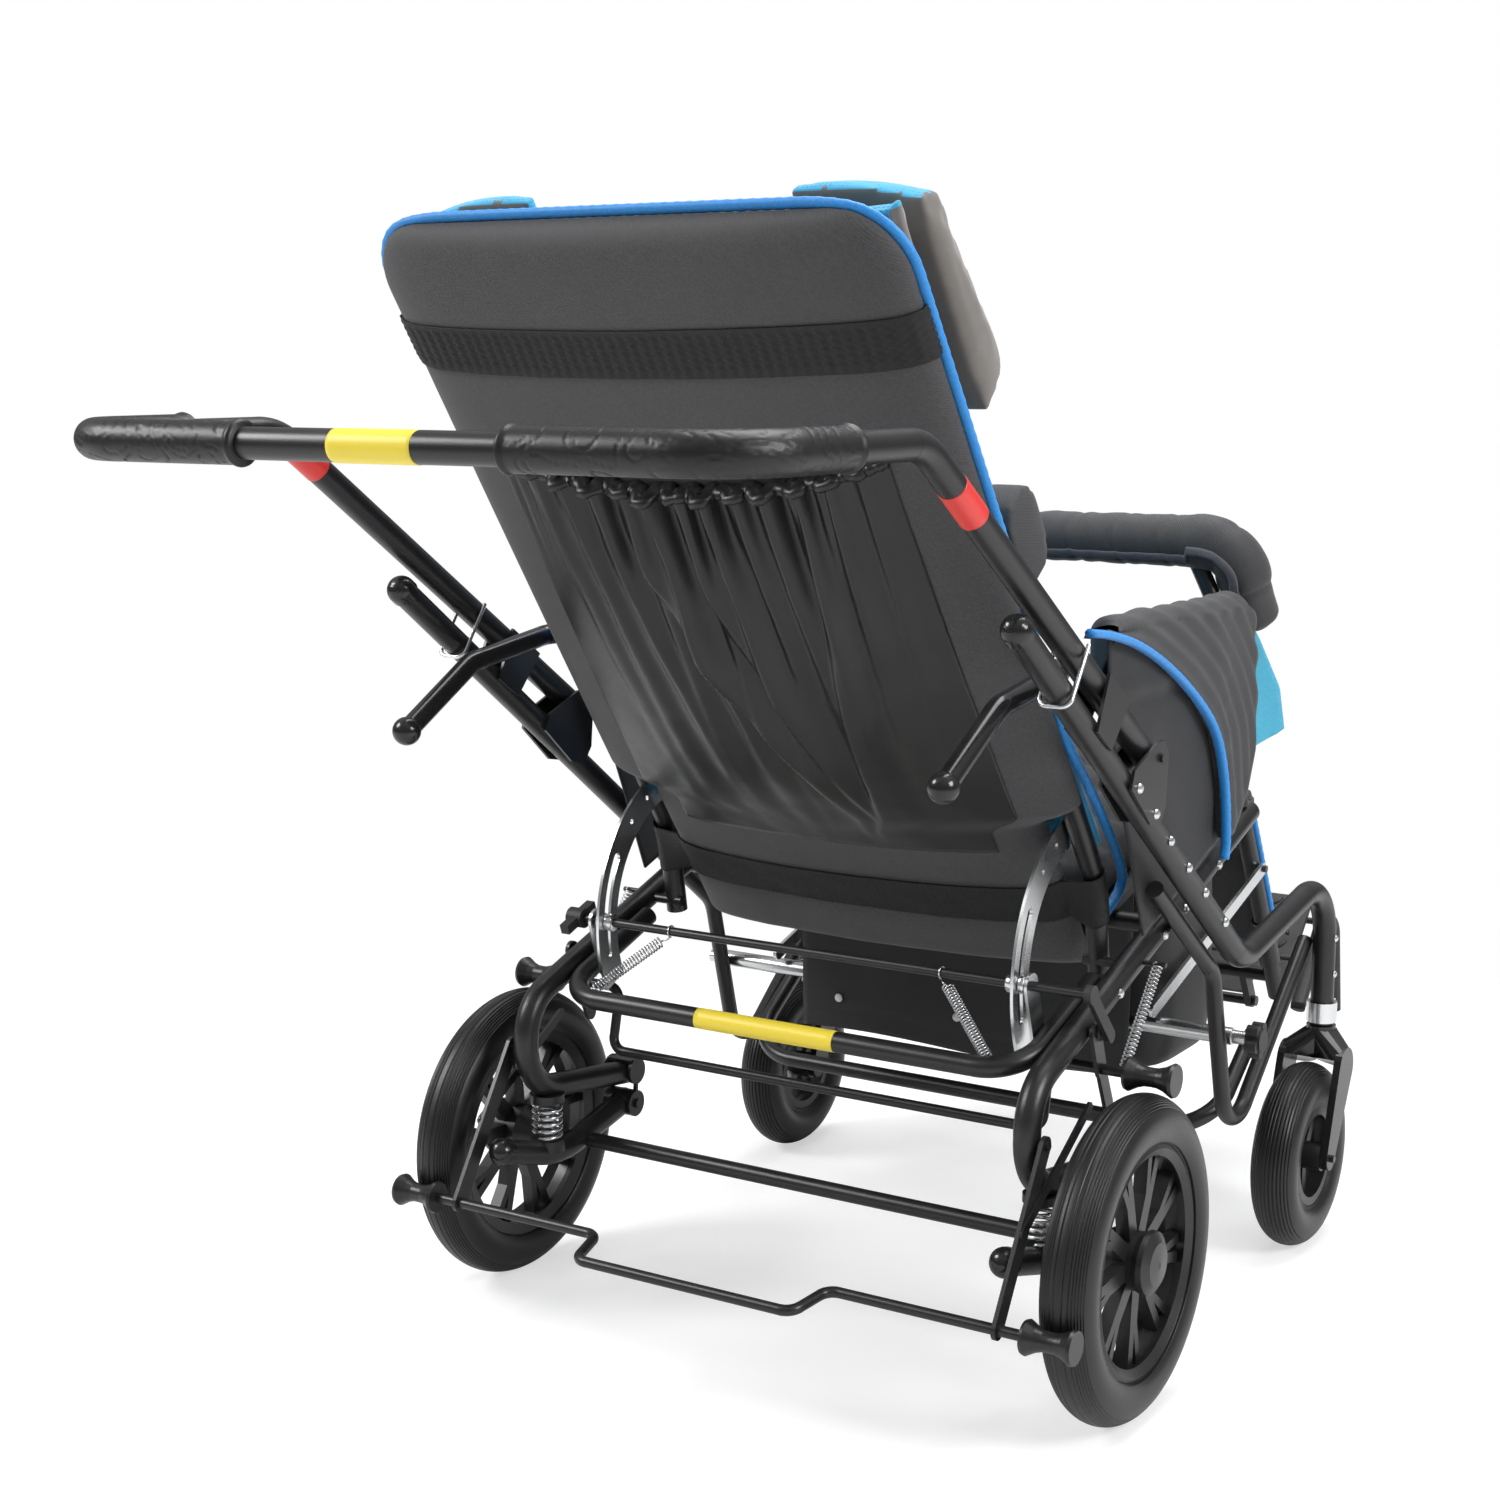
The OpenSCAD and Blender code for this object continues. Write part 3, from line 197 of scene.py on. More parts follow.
def hard_finish(name, colours, roughness, grain_scale, bump, dust=0.0, **plain):
    """A hard finish: two close colours in patches, a roughness range, a fine grain and dust."""
    material = bpy.data.materials.new(name)
    tree = empty_tree(material)
    grain = add(tree, "Group", {"Scale": grain_scale}, node_tree=fine_grain)
    colour = spread(tree, grain.outputs["Patch"], *colours)
    if dust:
        settled = add(tree, "Group", {"Amount": dust}, node_tree=settled_dust)
        dusted = add(tree, "Mix", {"Factor": settled.outputs["Mask"], 6: colour,
                                   7: (0.30, 0.29, 0.28, 1.0)}, data_type="RGBA")
        colour = dusted.outputs[2]
    height = add(tree, "Bump", {"Height": grain.outputs["Height"], "Strength": bump,
                                "Distance": 0.0006})
    shine = spread(tree, grain.outputs["Patch"], *roughness)
    shader = add(tree, "BsdfPrincipled", {"Base Color": colour, "Roughness": shine,
                                          "Normal": height.outputs[0], **plain})
    add(tree, "OutputMaterial", {"Surface": shader.outputs[0]})
    return material


def coat(material, *nodes):
    for node in nodes:
        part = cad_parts[node]
        if not part.material_slots:
            part.data.materials.append(material)
        for holder in part.material_slots:
            holder.material = material


powder_black = hard_finish("powder_black", ((0.008, 0.008, 0.009), (0.014, 0.014, 0.015)),
                           (0.27, 0.40), 1400.0, 0.14, dust=0.05)
coat(powder_black, "side_frame_r", "side_frame_l", "front_hoops", "seat_rail_r", "seat_rail_l",
     "seat_frame", "recline_bar", "rear_axle", "back_frame", "bumper_tube", "push_handle", "legrest",
     "foot_brake", "tyre_brake", "handle_saddles", "frame_brackets", "lock_rod")

# Small steel parts: zinc plated links, clips, collars, rivets and slotted quadrant plates.
# The plating is bright with a faint blue cast, and duller in patches where it was handled.
bright_zinc = hard_finish("bright_zinc", ((0.62, 0.63, 0.64), (0.80, 0.81, 0.82)),
                          (0.16, 0.36), 260.0, 0.05, Metallic=1.0)
coat(bright_zinc, "rod_links", "leg_shaft", "lock_clip_r", "lock_clip_l", "castor_collars",
     "frame_rivets", "quadrants", "leg_struts")

# Moulded caps, knobs and forks: glossy black plastic on the tube ends and castor forks,
# and a plainer grained plastic on the knobs, the seat board and the footplate.
gloss_black = hard_finish("gloss_black", ((0.009, 0.009, 0.010), (0.013, 0.013, 0.014)),
                          (0.14, 0.26), 500.0, 0.03, dust=0.06)
coat(gloss_black, "frame_caps", "arm_caps", "castor_fork_r", "castor_fork_l", "back_handles")
grained_black = hard_finish("grained_black", ((0.014, 0.014, 0.015), (0.022, 0.022, 0.023)),
                            (0.42, 0.58), 2200.0, 0.35, dust=0.08)
coat(grained_black, "star_knob", "wing_knob", "recline_lever", "seat_board", "footplate")


# Springs: drawn steel wire wound into coils. Two stiff springs carry the rear axle, two hook
# over the lock rod and pull it home, and two pull the tyre brake off.
axle_behind = 128.0


def metres(x, ahead, z):
    """A place in mm: to the side, ahead of the rear axle and up from the floor."""
    return Vector((x, ahead - axle_behind, z)) / 1000.0


def make_piece(name, points, faces, material):
    mesh = bpy.data.meshes.new(name)
    mesh.from_pydata([tuple(p) for p in points], [], faces)
    mesh.materials.append(material)
    mesh.validate()
    mesh.update()
    mesh.polygons.foreach_set("use_smooth", [True] * len(mesh.polygons))
    piece = bpy.data.objects.new(name, mesh)
    scene.collection.objects.link(piece)
    return piece


def ring_faces(rings, sides, capped=True, closed=False):
    faces = []
    for i in range(rings if closed else rings - 1):
        for s in range(sides):
            a, b = i * sides, ((i + 1) % rings) * sides
            faces.append((a + s, a + (s + 1) % sides, b + (s + 1) % sides, b + s))
    if capped and not closed:
        faces.append(tuple(range(sides - 1, -1, -1)))
        faces.append(tuple(range((rings - 1) * sides, rings * sides)))
    return faces


def carried_frames(path):
    """Directions across a path, carried along it without twist."""
    path = [Vector(p) for p in path]
    ways = [(path[min(i + 1, len(path) - 1)] - path[max(i - 1, 0)]).normalized()
            for i in range(len(path))]
    helper = Vector((0, 0, 1)) if abs(ways[0].z) < 0.9 else Vector((1, 0, 0))
    first = ways[0].cross(helper).normalized()
    frames = []
    for way in ways:
        first = (first - way * first.dot(way)).normalized()
        frames.append((first, way.cross(first)))
    return path, frames


def swept(path, sides, radius):
    """Rings round a path; radius may be a function of the ring, the turn and the place."""
    path, frames = carried_frames(path)
    points = []
    for i, (p, (a, b)) in enumerate(zip(path, frames)):
        for s in range(sides):
            turn = math.tau * s / sides
            r = radius(i, turn, p) if callable(radius) else radius
            points.append(p + (a * math.cos(turn) + b * math.sin(turn)) * r)
    return points, ring_faces(len(path), sides)


def rounded_path(corners, radius, step):
    """Points along a bent line with rounded corners, about a step apart."""
    corners = [Vector(c) for c in corners]
    path = [corners[0]]
    for i in range(1, len(corners) - 1):
        back = (corners[i - 1] - corners[i]).normalized()
        on = (corners[i + 1] - corners[i]).normalized()
        half = math.acos(max(-1.0, min(1.0, back.dot(on)))) / 2
        trim = radius / math.tan(half)
        centre = corners[i] + (back + on).normalized() * radius / math.sin(half)
        start, end = corners[i] + back * trim - centre, corners[i] + on * trim - centre
        turn = start.angle(end)
        steps = max(3, int(turn * radius / step))
        for k in range(steps + 1):
            t = k / steps
            arc = start * math.sin((1 - t) * turn) + end * math.sin(t * turn)
            path.append(centre + arc / math.sin(turn))
    path.append(corners[-1])
    even = [path[0]]
    for a, b in zip(path, path[1:]):
        pieces = max(1, int(round((b - a).length / step)))
        even += [a.lerp(b, k / pieces) for k in range(1, pieces + 1)]
    return even


def coil_path(start, end, mean_d, wire, turns):
    """The middle line of a coil of wire between two places."""
    way = (end - start).normalized()
    out = Vector((1, 0, 0)).cross(way).normalized()
    side = way.cross(out)
    rise = (end - start).length - wire
    steps = int(turns * 30)
    path = []
    for i in range(steps + 1):
        turn = math.tau * turns * i / steps
        round_way = out * math.cos(turn) + side * math.sin(turn)
        path.append(start + way * (wire / 2 + rise * i / steps) + round_way * mean_d / 2)
    return path


spring_wire = hard_finish("spring_wire", ((0.52, 0.53, 0.54), (0.72, 0.73, 0.74)),
                          (0.2, 0.34), 700.0, 0.06, Metallic=1.0)
both_sides = ((1, "r"), (-1, "l"))
rail_x, spring_ahead = 279.0, -38.0
thin_wire = 0.0016
pivot_ahead, pivot_height = 142.0, 382.86
rear_pin = metres(0.0, pivot_ahead, pivot_height) + Vector((0.0, -0.13991, 0.00489))
hook_reach = 0.0056
hook_turns = [math.radians(-95.0 + 15.0 * k) for k in range(18)]
for side, hand in both_sides:
    lower = metres(side * rail_x, spring_ahead, 162.5)
    higher = metres(side * rail_x, spring_ahead, 201.7)
    axle_coil = coil_path(lower, higher, 0.028, 0.0045, 5)
    axle_spring = make_piece("axle_spring_" + hand, *swept(axle_coil, 12, 0.00225), spring_wire)
    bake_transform(axle_spring)
    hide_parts("suspension_springs")
    low_hook = metres(side * 220.6, -37.25, 326.2)
    high_hook = rear_pin + Vector((side * 160.9, -4.8, -10.2)) / 1000.0
    lock_coil = coil_path(low_hook, high_hook, 0.010, thin_wire, 26)
    lock_spring = make_piece("lock_spring_" + hand, *swept(lock_coil, 8, thin_wire / 2), spring_wire)
    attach(lock_spring, "chassis")
    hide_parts("recline_springs")
    hook_x = side * 0.1525
    hook_wire = [high_hook, Vector((hook_x + side * 0.003, rear_pin.y - 0.003, rear_pin.z - 0.0085))]
    hook_wire += [Vector((hook_x, rear_pin.y - hook_reach * math.cos(a),
                          rear_pin.z + hook_reach * math.sin(a))) for a in hook_turns]
    rod_hook = make_piece("lock_hook_" + hand, *swept(hook_wire, 8, thin_wire / 2), spring_wire)
    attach(rod_hook, "chassis")
    brake_low = metres(side * 306.0, 72.0, 298.0)
    brake_high = metres(side * 306.0, 150.33, 386.0)
    brake_coil = coil_path(brake_low, brake_high, 0.009, thin_wire, 28)
    brake_spring = make_piece("brake_spring_" + hand, *swept(brake_coil, 8, thin_wire / 2), spring_wire)
    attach(brake_spring, "chassis")
    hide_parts("brake_springs")


# Rod bushes: turned steel collars, zinc plated, pushed on the lock rod on both sides of each
# quadrant, so that the rod can't wander along.
bush_bevel = 0.0008
bush_radii = (0.0080, 0.0088, 0.0088, 0.0080)
for side, hand in both_sides:
    for place, near, far in (("inner", 0.2215, 0.2301), ("outer", 0.2343, 0.2404)):
        bush_path = [Vector((side * x, rear_pin.y, rear_pin.z))
                     for x in (near, near + bush_bevel, far - bush_bevel, far)]
        bush = make_piece("rod_bush_" + place + "_" + hand,
                          *swept(bush_path, 32, lambda i, turn, p: bush_radii[i]), bright_zinc)
        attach(bush, "chassis")


# Tyres: solid black rubber with ribs running round the tread and the shoulders, pressed
# onto the rims. The rubber has a fine grain and a dull sheen.
def lathe(name, profile, segments, centre, material):
    """A ring turned about a line along X, from a profile of (radius, place along X) pairs."""
    points = []
    for i in range(segments):
        turn = math.tau * i / segments
        points += [centre + Vector((x, r * math.cos(turn), r * math.sin(turn))) / 1000.0
                   for r, x in profile]
    return make_piece(name, points, ring_faces(segments, len(profile), closed=True), material)


def tyre_profile(outer, width, bead, grooves, depth):
    """The section of a tyre, with a groove cut at each angle from its crown."""
    crown = width / 2.0
    middle = outer - crown
    base = width * 0.36
    profile = [(bead, -base), (bead, 0.0), (bead, base)]
    groove_half, side_turn = 1.7, 134.0
    for turn in np.radians(np.arange(side_turn, -side_turn - 0.1, -1.0)):
        nearest = min(abs(math.degrees(turn) - g) for g in grooves)
        cut = depth * max(0.0, 1.0 - (nearest / groove_half) ** 4)
        reach = crown - cut
        profile.append((max(bead + 1.0, middle + reach * math.cos(turn)), reach * math.sin(turn)))
    return profile


rubber_shine = {"Specular IOR Level": 0.42}
tyre_rubber = hard_finish("tyre_rubber", ((0.008, 0.008, 0.008), (0.014, 0.014, 0.014)),
                          (0.27, 0.40), 1800.0, 0.22, **rubber_shine)
rear_ribs = [-52, -46, -40, -34, -28, -21, -9, 9, 21, 28, 34, 40, 46, 52]
castor_ribs = [-52, -43, -34, -25, -15, -5, 5, 15, 25, 34, 43, 52]
rear_track, rear_radius = 347.0, 150.0
castor_track, castor_ahead, castor_radius = 322.0, 520.0, 100.0
for side, hand in both_sides:
    rear_tyre = lathe("rear_tread_" + hand, tyre_profile(rear_radius, 52.0, 108.0, rear_ribs, 1.1), 144,
                      metres(side * rear_track, 0.0, rear_radius), tyre_rubber)
    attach(rear_tyre, "rear_wheel_" + hand)
    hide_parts("rear_tyre_" + hand)
    castor_section = tyre_profile(castor_radius, 50.0, 54.0, castor_ribs, 1.6)
    castor_tyre = lathe("castor_tread_" + hand, castor_section, 112,
                        metres(side * castor_track, castor_ahead, castor_radius), tyre_rubber)
    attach(castor_tyre, "castor_wheel_" + hand)
    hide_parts("castor_tyre_" + hand)

# Rims: one moulding each of black nylon, with forked spokes and a domed hub. The rear rims
# turn on the ends of the swing axle, the front ones on bolts through the castor forks.
rim_nylon = hard_finish("rim_nylon", ((0.010, 0.010, 0.011), (0.017, 0.017, 0.018)),
                        (0.28, 0.42), 1200.0, 0.12, dust=0.08)
coat(rim_nylon, "rear_rim_r", "rear_rim_l", "castor_rim_r", "castor_rim_l")

# Grips: soft black rubber sleeves drawn over the handle's corners, with a cut pattern of
# wavy contour lines and a thicker lip at each end.
grip_rubber = hard_finish("grip_rubber", ((0.007, 0.007, 0.008), (0.013, 0.013, 0.014)),
                          (0.30, 0.44), 2000.0, 0.22, **rubber_shine)
grip_radius, grip_step, grip_bend = 0.0168, 0.0016, 0.060
handle_half, crossbar_ahead, crossbar_height = 322.0, -607.0, 886.7
for side, hand in both_sides:
    grip_corners = [metres(side * handle_half, -473.0, 887.8),
                    metres(side * handle_half, crossbar_ahead, crossbar_height),
                    metres(side * 125.0, crossbar_ahead, crossbar_height)]
    grip_path = rounded_path(grip_corners, grip_bend, grip_step)
    last_ring = len(grip_path) - 1

    def cut_lines(i, turn, p):
        """The radius of a grip, with lines cut along the levels of a slow noise."""
        field = Vector((p.x * 26.0, p.y * 26.0, 3.0)) + Vector((0, 0, math.sin(turn) * 0.7))
        level_at = noise.noise(field) * 4.0 + (i * 0.03 + 0.35 * math.cos(turn))
        near_line = abs((level_at % 1.0) - 0.5)
        cut = 0.0008 * max(0.0, 1.0 - (near_line / 0.06) ** 2)
        end = min(i, last_ring - i) * grip_step
        lip = 0.0016 * max(0.0, 1.0 - ((end - 0.003) / 0.004) ** 2) if end < 0.007 else 0.0
        inset = 0.0022 * max(0.0, 1.0 - end / 0.0018)
        return grip_radius - (cut if end > 0.008 else 0.0) + lip - inset

    grip = make_piece("grip_" + hand, *swept(grip_path, 64, cut_lines), grip_rubber)
    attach(grip, "push_handle")
    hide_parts("handle_grips")

# Handle bands: thin plain tape wound once round a tube, red on the two slopes of the push
# handle, yellow on its crossbar and on the recline bar.
band_tape = {
    "red": hard_finish("red_tape", ((0.62, 0.030, 0.028), (0.72, 0.050, 0.040)),
                       (0.30, 0.42), 900.0, 0.05),
    "yellow": hard_finish("yellow_tape", ((0.86, 0.66, 0.045), (0.92, 0.74, 0.070)),
                          (0.34, 0.48), 900.0, 0.05),
}
handle_lean = math.radians(34.0)
slope = Vector((0.0, -math.cos(handle_lean), math.sin(handle_lean)))
handle_pivot = Vector((handle_half, 66.0, 598.0))
handle_band, bar_band, lap = 0.01275, 0.01025, 0.00025


def on_slope(side, along):
    """A place on a sloping tube of the push handle, from its distance to the fold pivot."""
    p = handle_pivot + slope * along
    return metres(side * p.x, p.y, p.z)


for name, colour, body, start, end, radius in (
    ("red_band_r", "red", "push_handle", on_slope(1, 417.0), on_slope(1, 462.0), handle_band),
    ("red_band_l", "red", "push_handle", on_slope(-1, 456.0), on_slope(-1, 496.0), handle_band),
    ("yellow_band_top", "yellow", "push_handle", metres(46.0, crossbar_ahead, crossbar_height),
     metres(-33.0, crossbar_ahead, crossbar_height), handle_band),
    ("yellow_band_low", "yellow", "chassis", metres(65.0, -42.0, 318.0),
     metres(-90.0, -42.0, 318.0), bar_band),
):
    band_path = [start.lerp(end, k / 24) for k in range(25)]
    wrap = make_piece(name, *swept(
        band_path, 40, lambda i, turn, p: radius + (lap if abs(turn - 1.2) < 0.5 else 0)),
        band_tape[colour])
    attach(wrap, body)


# Back shell: a foam panel sewn into charcoal twill, strapped to the rear of the back tubes.
# It bellies to the rear, its top corners are rounded and the straps press a little into it.
def weave_group(name, pitch):
    """A shader group that gives the height and the tone of a weave at a place."""
    return shader_group(name, [("Vector", VECTOR, None), ("Pitch", FLOAT, pitch)],
                        [("Height", FLOAT), ("Tone", FLOAT)])


twill_weave, given, result = weave_group("twill_weave", 0.0028)
thread_rate = add(twill_weave, "Math", {0: math.tau, 1: given.outputs["Pitch"]}, operation="DIVIDE")
spot = add(twill_weave, "SeparateXYZ", {0: given.outputs["Vector"]})


def combined(tree, operation, first, second):
    return add(tree, "Math", {0: first, 1: second}, operation=operation).outputs[0]


def ridge(tree, across, rate):
    turned = combined(tree, "MULTIPLY", across, rate)
    return add(tree, "Math", {0: turned}, operation="SINE").outputs[0]


diagonal = combined(twill_weave, "ADD", spot.outputs["X"], spot.outputs["Z"])
counter = combined(twill_weave, "SUBTRACT", spot.outputs["X"], spot.outputs["Z"])
ribs = ridge(twill_weave, diagonal, thread_rate.outputs[0])
yarns = ridge(twill_weave, counter, combined(twill_weave, "MULTIPLY", thread_rate.outputs[0], 2.0))
woven = combined(twill_weave, "ADD", combined(twill_weave, "MULTIPLY", ribs, 0.34),
                 combined(twill_weave, "MULTIPLY", yarns, 0.16))
twill_weave.links.new(combined(twill_weave, "ADD", woven, 0.5), result.inputs["Height"])
melange = add(twill_weave, "TexNoise", {"Vector": given.outputs["Vector"], "Scale": 420.0,
                                        "Detail": 3.0})
flecks = add(twill_weave, "MapRange", {"Value": melange.outputs["Fac"], "From Min": 0.25,
                                       "From Max": 0.75})
tone = combined(twill_weave, "ADD", combined(twill_weave, "MULTIPLY", woven, 0.5), flecks.outputs[0])
twill_weave.links.new(tone, result.inputs["Tone"])


def woven_cloth(name, colours, roughness, pitch, bump, tilt=0.0, group=twill_weave, sheen=0.0,
                turn=0.0):
    """A cloth whose threads lie in the plane of X and Z, tilted about X and turned about Z."""
    material = bpy.data.materials.new(name)
    tree = empty_tree(material)
    place = add(tree, "TexCoord").outputs["Object"]
    rotation = (math.radians(tilt), 0.0, math.radians(turn))
    lying = add(tree, "Mapping", {"Vector": place, "Rotation": rotation})
    weave = add(tree, "Group", {"Vector": lying.outputs[0], "Pitch": pitch}, node_tree=group)
    colour = spread(tree, weave.outputs["Tone"], *colours)
    height = add(tree, "Bump", {"Height": weave.outputs["Height"], "Strength": bump,
                                "Distance": 0.0005})
    rough = spread(tree, weave.outputs["Tone"], *roughness)
    shader = add(tree, "BsdfPrincipled", {"Base Color": colour, "Roughness": rough,
                                          "Normal": height.outputs[0], "Sheen Weight": sheen,
                                          "Sheen Roughness": 0.5})
    add(tree, "OutputMaterial", {"Surface": shader.outputs[0]})
    return material


back_tilt = 35.6
charcoal_back = woven_cloth("charcoal_twill", ((0.033, 0.033, 0.035), (0.066, 0.066, 0.070)),
                            (0.62, 0.78), 0.0028, 0.35, tilt=-back_tilt, sheen=0.10)
back_cos, back_sin = math.cos(math.radians(back_tilt)), math.sin(math.radians(back_tilt))


def on_back(x, forward, up):
    """A place on the backrest in mm: to the side, ahead of the pivot line and up the back."""
    return metres(x, pivot_ahead + forward * back_cos - up * back_sin,
                  pivot_height + forward * back_sin + up * back_cos)


shell_low, shell_high = -38.0, 818.0
shell_front = 30.7
sling_half, panel_half = 221.0, 264.0
sling_top, panel_foot = 158.0, 186.0
corner_round = 62.0


def shell_half(up):
    """Half the shell's width at a height up the back."""
    if up < panel_foot:
        rise = max(0.0, (up - sling_top) / (panel_foot - sling_top))
        return sling_half + (panel_half - sling_half) * rise * rise * (3.0 - 2.0 * rise)
    over = max(0.0, up - (shell_high - corner_round))
    return panel_half - (corner_round - math.sqrt(max(0.0, corner_round ** 2 - over ** 2))) * 0.9


elastic_low, elastic_high = 682.0, 728.0
webbing_low, webbing_high = 34.0, 82.0


def strap_press(up):
    """How far the two straps press into the shell."""
    high = math.exp(-((up - (elastic_low + elastic_high) / 2) / 30.0) ** 4)
    low = math.exp(-((up - (webbing_low + webbing_high) / 2) / 32.0) ** 4)
    return 3.0 * high + 2.0 * low


def shell_out(u, up):
    """How far the shell stands behind its front face at a share u of its half width."""
    rim = 13.0 * (1.0 - abs(u) ** 14) ** 0.5 if abs(u) < 1.0 else 0.0
    share = (up - shell_low) / (shell_high - shell_low)
    belly = max(0.0, 1.0 - u * u) ** 0.6 * (15.0 + 17.0 * math.sin(math.pi * share))
    top = max(0.0, 1.0 - (max(0.0, up - (shell_high - 30.0)) / 30.0) ** 2) ** 0.5
    base = max(0.0, 1.0 - (max(0.0, shell_low + 18.0 - up) / 18.0) ** 2) ** 0.5
    return (rim + belly) * min(top, base)


def shell_rear(x, up):
    """How far ahead of the pivot line the shell's rear face lies."""
    u = max(-1.0, min(1.0, x / shell_half(up)))
    puckers = (1.1 * noise.noise(Vector((x * 0.011, up * 0.016, 1.7)))
               + 0.5 * noise.noise(Vector((x * 0.04, up * 0.05, 4.0))))
    edge = max(0.0, 1.0 - abs(u) ** 6)
    return shell_front - shell_out(u, up) + (strap_press(up) * edge - puckers * edge)


shell_rows = np.concatenate([
    np.linspace(low, high, count) for low, high, count in (
        (shell_low, -20.0, 7), (-13.0, 156.0, 25), (sling_top, 188.0, 13), (196.0, 786.0, 80),
        (791.0, shell_high, 13))])
shell_cols = np.sin(np.linspace(-math.pi / 2, math.pi / 2, 75))
front_cols = np.linspace(0.985, -0.985, 9)
shell_points, shell_sides = [], len(shell_cols) + len(front_cols)
for up in shell_rows:
    half = shell_half(up)
    shell_points += [on_back(half * u, shell_rear(half * u, up), up) for u in shell_cols]
    shell_points += [on_back(half * u, shell_front, up) for u in front_cols]
back_shell = make_piece("back_shell", shell_points, ring_faces(len(shell_rows), shell_sides),
                        charcoal_back)
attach(back_shell, "backrest")
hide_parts("back_panel")

# Blue binding: a satin tape folded round a cord and sewn along the front edge of the back
# shell, down both sides and forward round the seat's corners.
satin_tape = woven_cloth("azure_tape", ((0.010, 0.200, 0.600), (0.016, 0.290, 0.740)),
                         (0.40, 0.55), 0.0016, 0.3, tilt=-back_tilt, sheen=0.15)


def smooth_line(corners, step=0.004, rounds=3):
    """An even line through corner points, eased by cutting its corners."""
    line = [Vector(c) for c in corners]
    for _ in range(rounds):
        cut = [line[0]]
        for a, b in zip(line, line[1:]):
            cut += [a.lerp(b, 0.25), a.lerp(b, 0.75)]
        line = cut + [line[-1]]
    even, spare = [line[0]], 0.0
    for a, b in zip(line, line[1:]):
        span = (b - a).length
        walk = step - spare
        while walk <= span:
            even.append(a.lerp(b, walk / span))
            walk += step
        spare = span - (walk - step)
    even.append(line[-1])
    return even


def tape_round(width):
    """The radius of a folded tape: an oval over its cord, with a ridge at each stitch."""
    return lambda i, turn, p: (width * (1.0 + 0.05 * math.sin(i * 2.1))
                               * (1.0 + 0.16 * math.cos(2 * turn)))


def binding(name, corners, body, width=0.0046, rounds=3):
    line = smooth_line(corners, rounds=rounds)
    tape = make_piece(name, *swept(line, 14, tape_round(width)), satin_tape)
    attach(tape, body)


tape_out, tape_forward = 1.0, 36.0
right_low = [(250.0, 20.0, 36.0), (252.0, 76.0, 26.0), (254.0, 80.0, 60.0), (257.0, 67.0, 140.0),
             (265.0, 44.0, 215.0)]
edge_heights = [*np.linspace(250.0, 756.0, 12), *np.linspace(766.0, 817.0, 10)]
right_edge = right_low + [(shell_half(up) + tape_out, tape_forward, up) for up in edge_heights]
over_top = [(x, tape_forward, shell_high + 2.5) for x in np.linspace(190.0, -190.0, 14)]
around = right_edge + over_top + [(-x, y, z) for x, y, z in reversed(right_edge)]
binding("back_binding", [on_back(*p) for p in around], "backrest", rounds=2)

# Back pocket: a loose bag of thin satin nylon sewn to the shell on three sides, with its
# top hem drawn in by elastic, so that it falls in folds.
satin_nylon = woven_cloth("satin_nylon", ((0.004, 0.004, 0.005), (0.008, 0.008, 0.009)),
                          (0.33, 0.45), 0.0012, 0.10, tilt=-back_tilt)
pocket_low, pocket_high, pocket_share = 133.0, 586.0, 0.80
hem_dip, hem_lift, hem_draw = 14.0, 10.0, 0.035
fold_lines = [
    (-0.80, -0.62, 5.0, 0.060), (-0.62, -0.52, 6.0, 0.055), (-0.46, -0.30, 8.5, 0.060),
    (-0.30, -0.26, 5.0, 0.045), (-0.16, -0.06, 10.0, 0.060), (-0.02, 0.10, 6.0, 0.050),
    (0.12, 0.22, 9.0, 0.055), (0.28, 0.30, 5.5, 0.050), (0.42, 0.44, 8.5, 0.060),
    (0.58, 0.50, 6.0, 0.050), (0.74, 0.62, 6.0, 0.060), (0.88, 0.80, 4.0, 0.045),
]
slant_folds = [(-0.42, 0.34, 17.0, 0.060), (-0.10, 0.42, 11.0, 0.050), (0.62, 0.36, 12.0, 0.055)]


def pocket_lift(u, v):
    """How far the cloth stands off the shell; u runs across, v from the bottom seam to the hem."""
    edge = max(0.0, 1.0 - u ** 6) * (1.0 - (1.0 - min(1.0, v / 0.30)) ** 2.0)
    belly = math.sin(math.pi * min(1.0, 0.12 + 0.80 * (1.0 - v))) * (1.0 - 0.55 * u * u)
    lift = (3.0 + 17.0 * belly) * edge
    fall = v ** 1.1
    for top, low, depth, width in fold_lines:
        line = top * v + low * (1.0 - v)
        reach = width * (0.55 + 1.0 * (1.0 - v)) * (0.6 if u < line else 1.25)
        lift += 1.7 * depth * fall * edge * (math.exp(-((u - line) / reach) ** 2)
                                             - 0.5 * math.exp(-((u - line - 1.4 * reach) / reach) ** 2))
    for top, low, depth, width in slant_folds:
        slant = (u - top * v - low * (1.0 - v)) / width
        slant *= 1.9 if slant < 0.0 else 0.55
        lift += depth * edge * math.sin(math.pi * min(1.0, v * 1.05)) * math.exp(-slant * slant)
    ruffle = math.sin(88.0 * u + 1.1 * math.sin(9.0 * u)) * (0.6 + 0.4 * math.sin(13.0 * u + 1.0))
    lift += 3.4 * ruffle * max(0.0, (v - 0.62) / 0.38) ** 2 * (1.0 - u ** 8)
    lift += 0.9 * noise.noise(Vector((u * 9.0, v * 6.0, 2.2))) * edge
    return 0.9 + max(0.0, lift)


def on_pocket(u, v, above=0.0):
    """A place on the pocket's cloth, or just above it."""
    rise = (pocket_high - pocket_low) * v
    up = pocket_low + rise - hem_dip * (1.0 - u * u) * v + hem_lift * u * u * v
    x = pocket_share * u * shell_half(up) * (1.0 - hem_draw * v)
    return on_back(x, shell_rear(x, up) - pocket_lift(u, v), up + above)


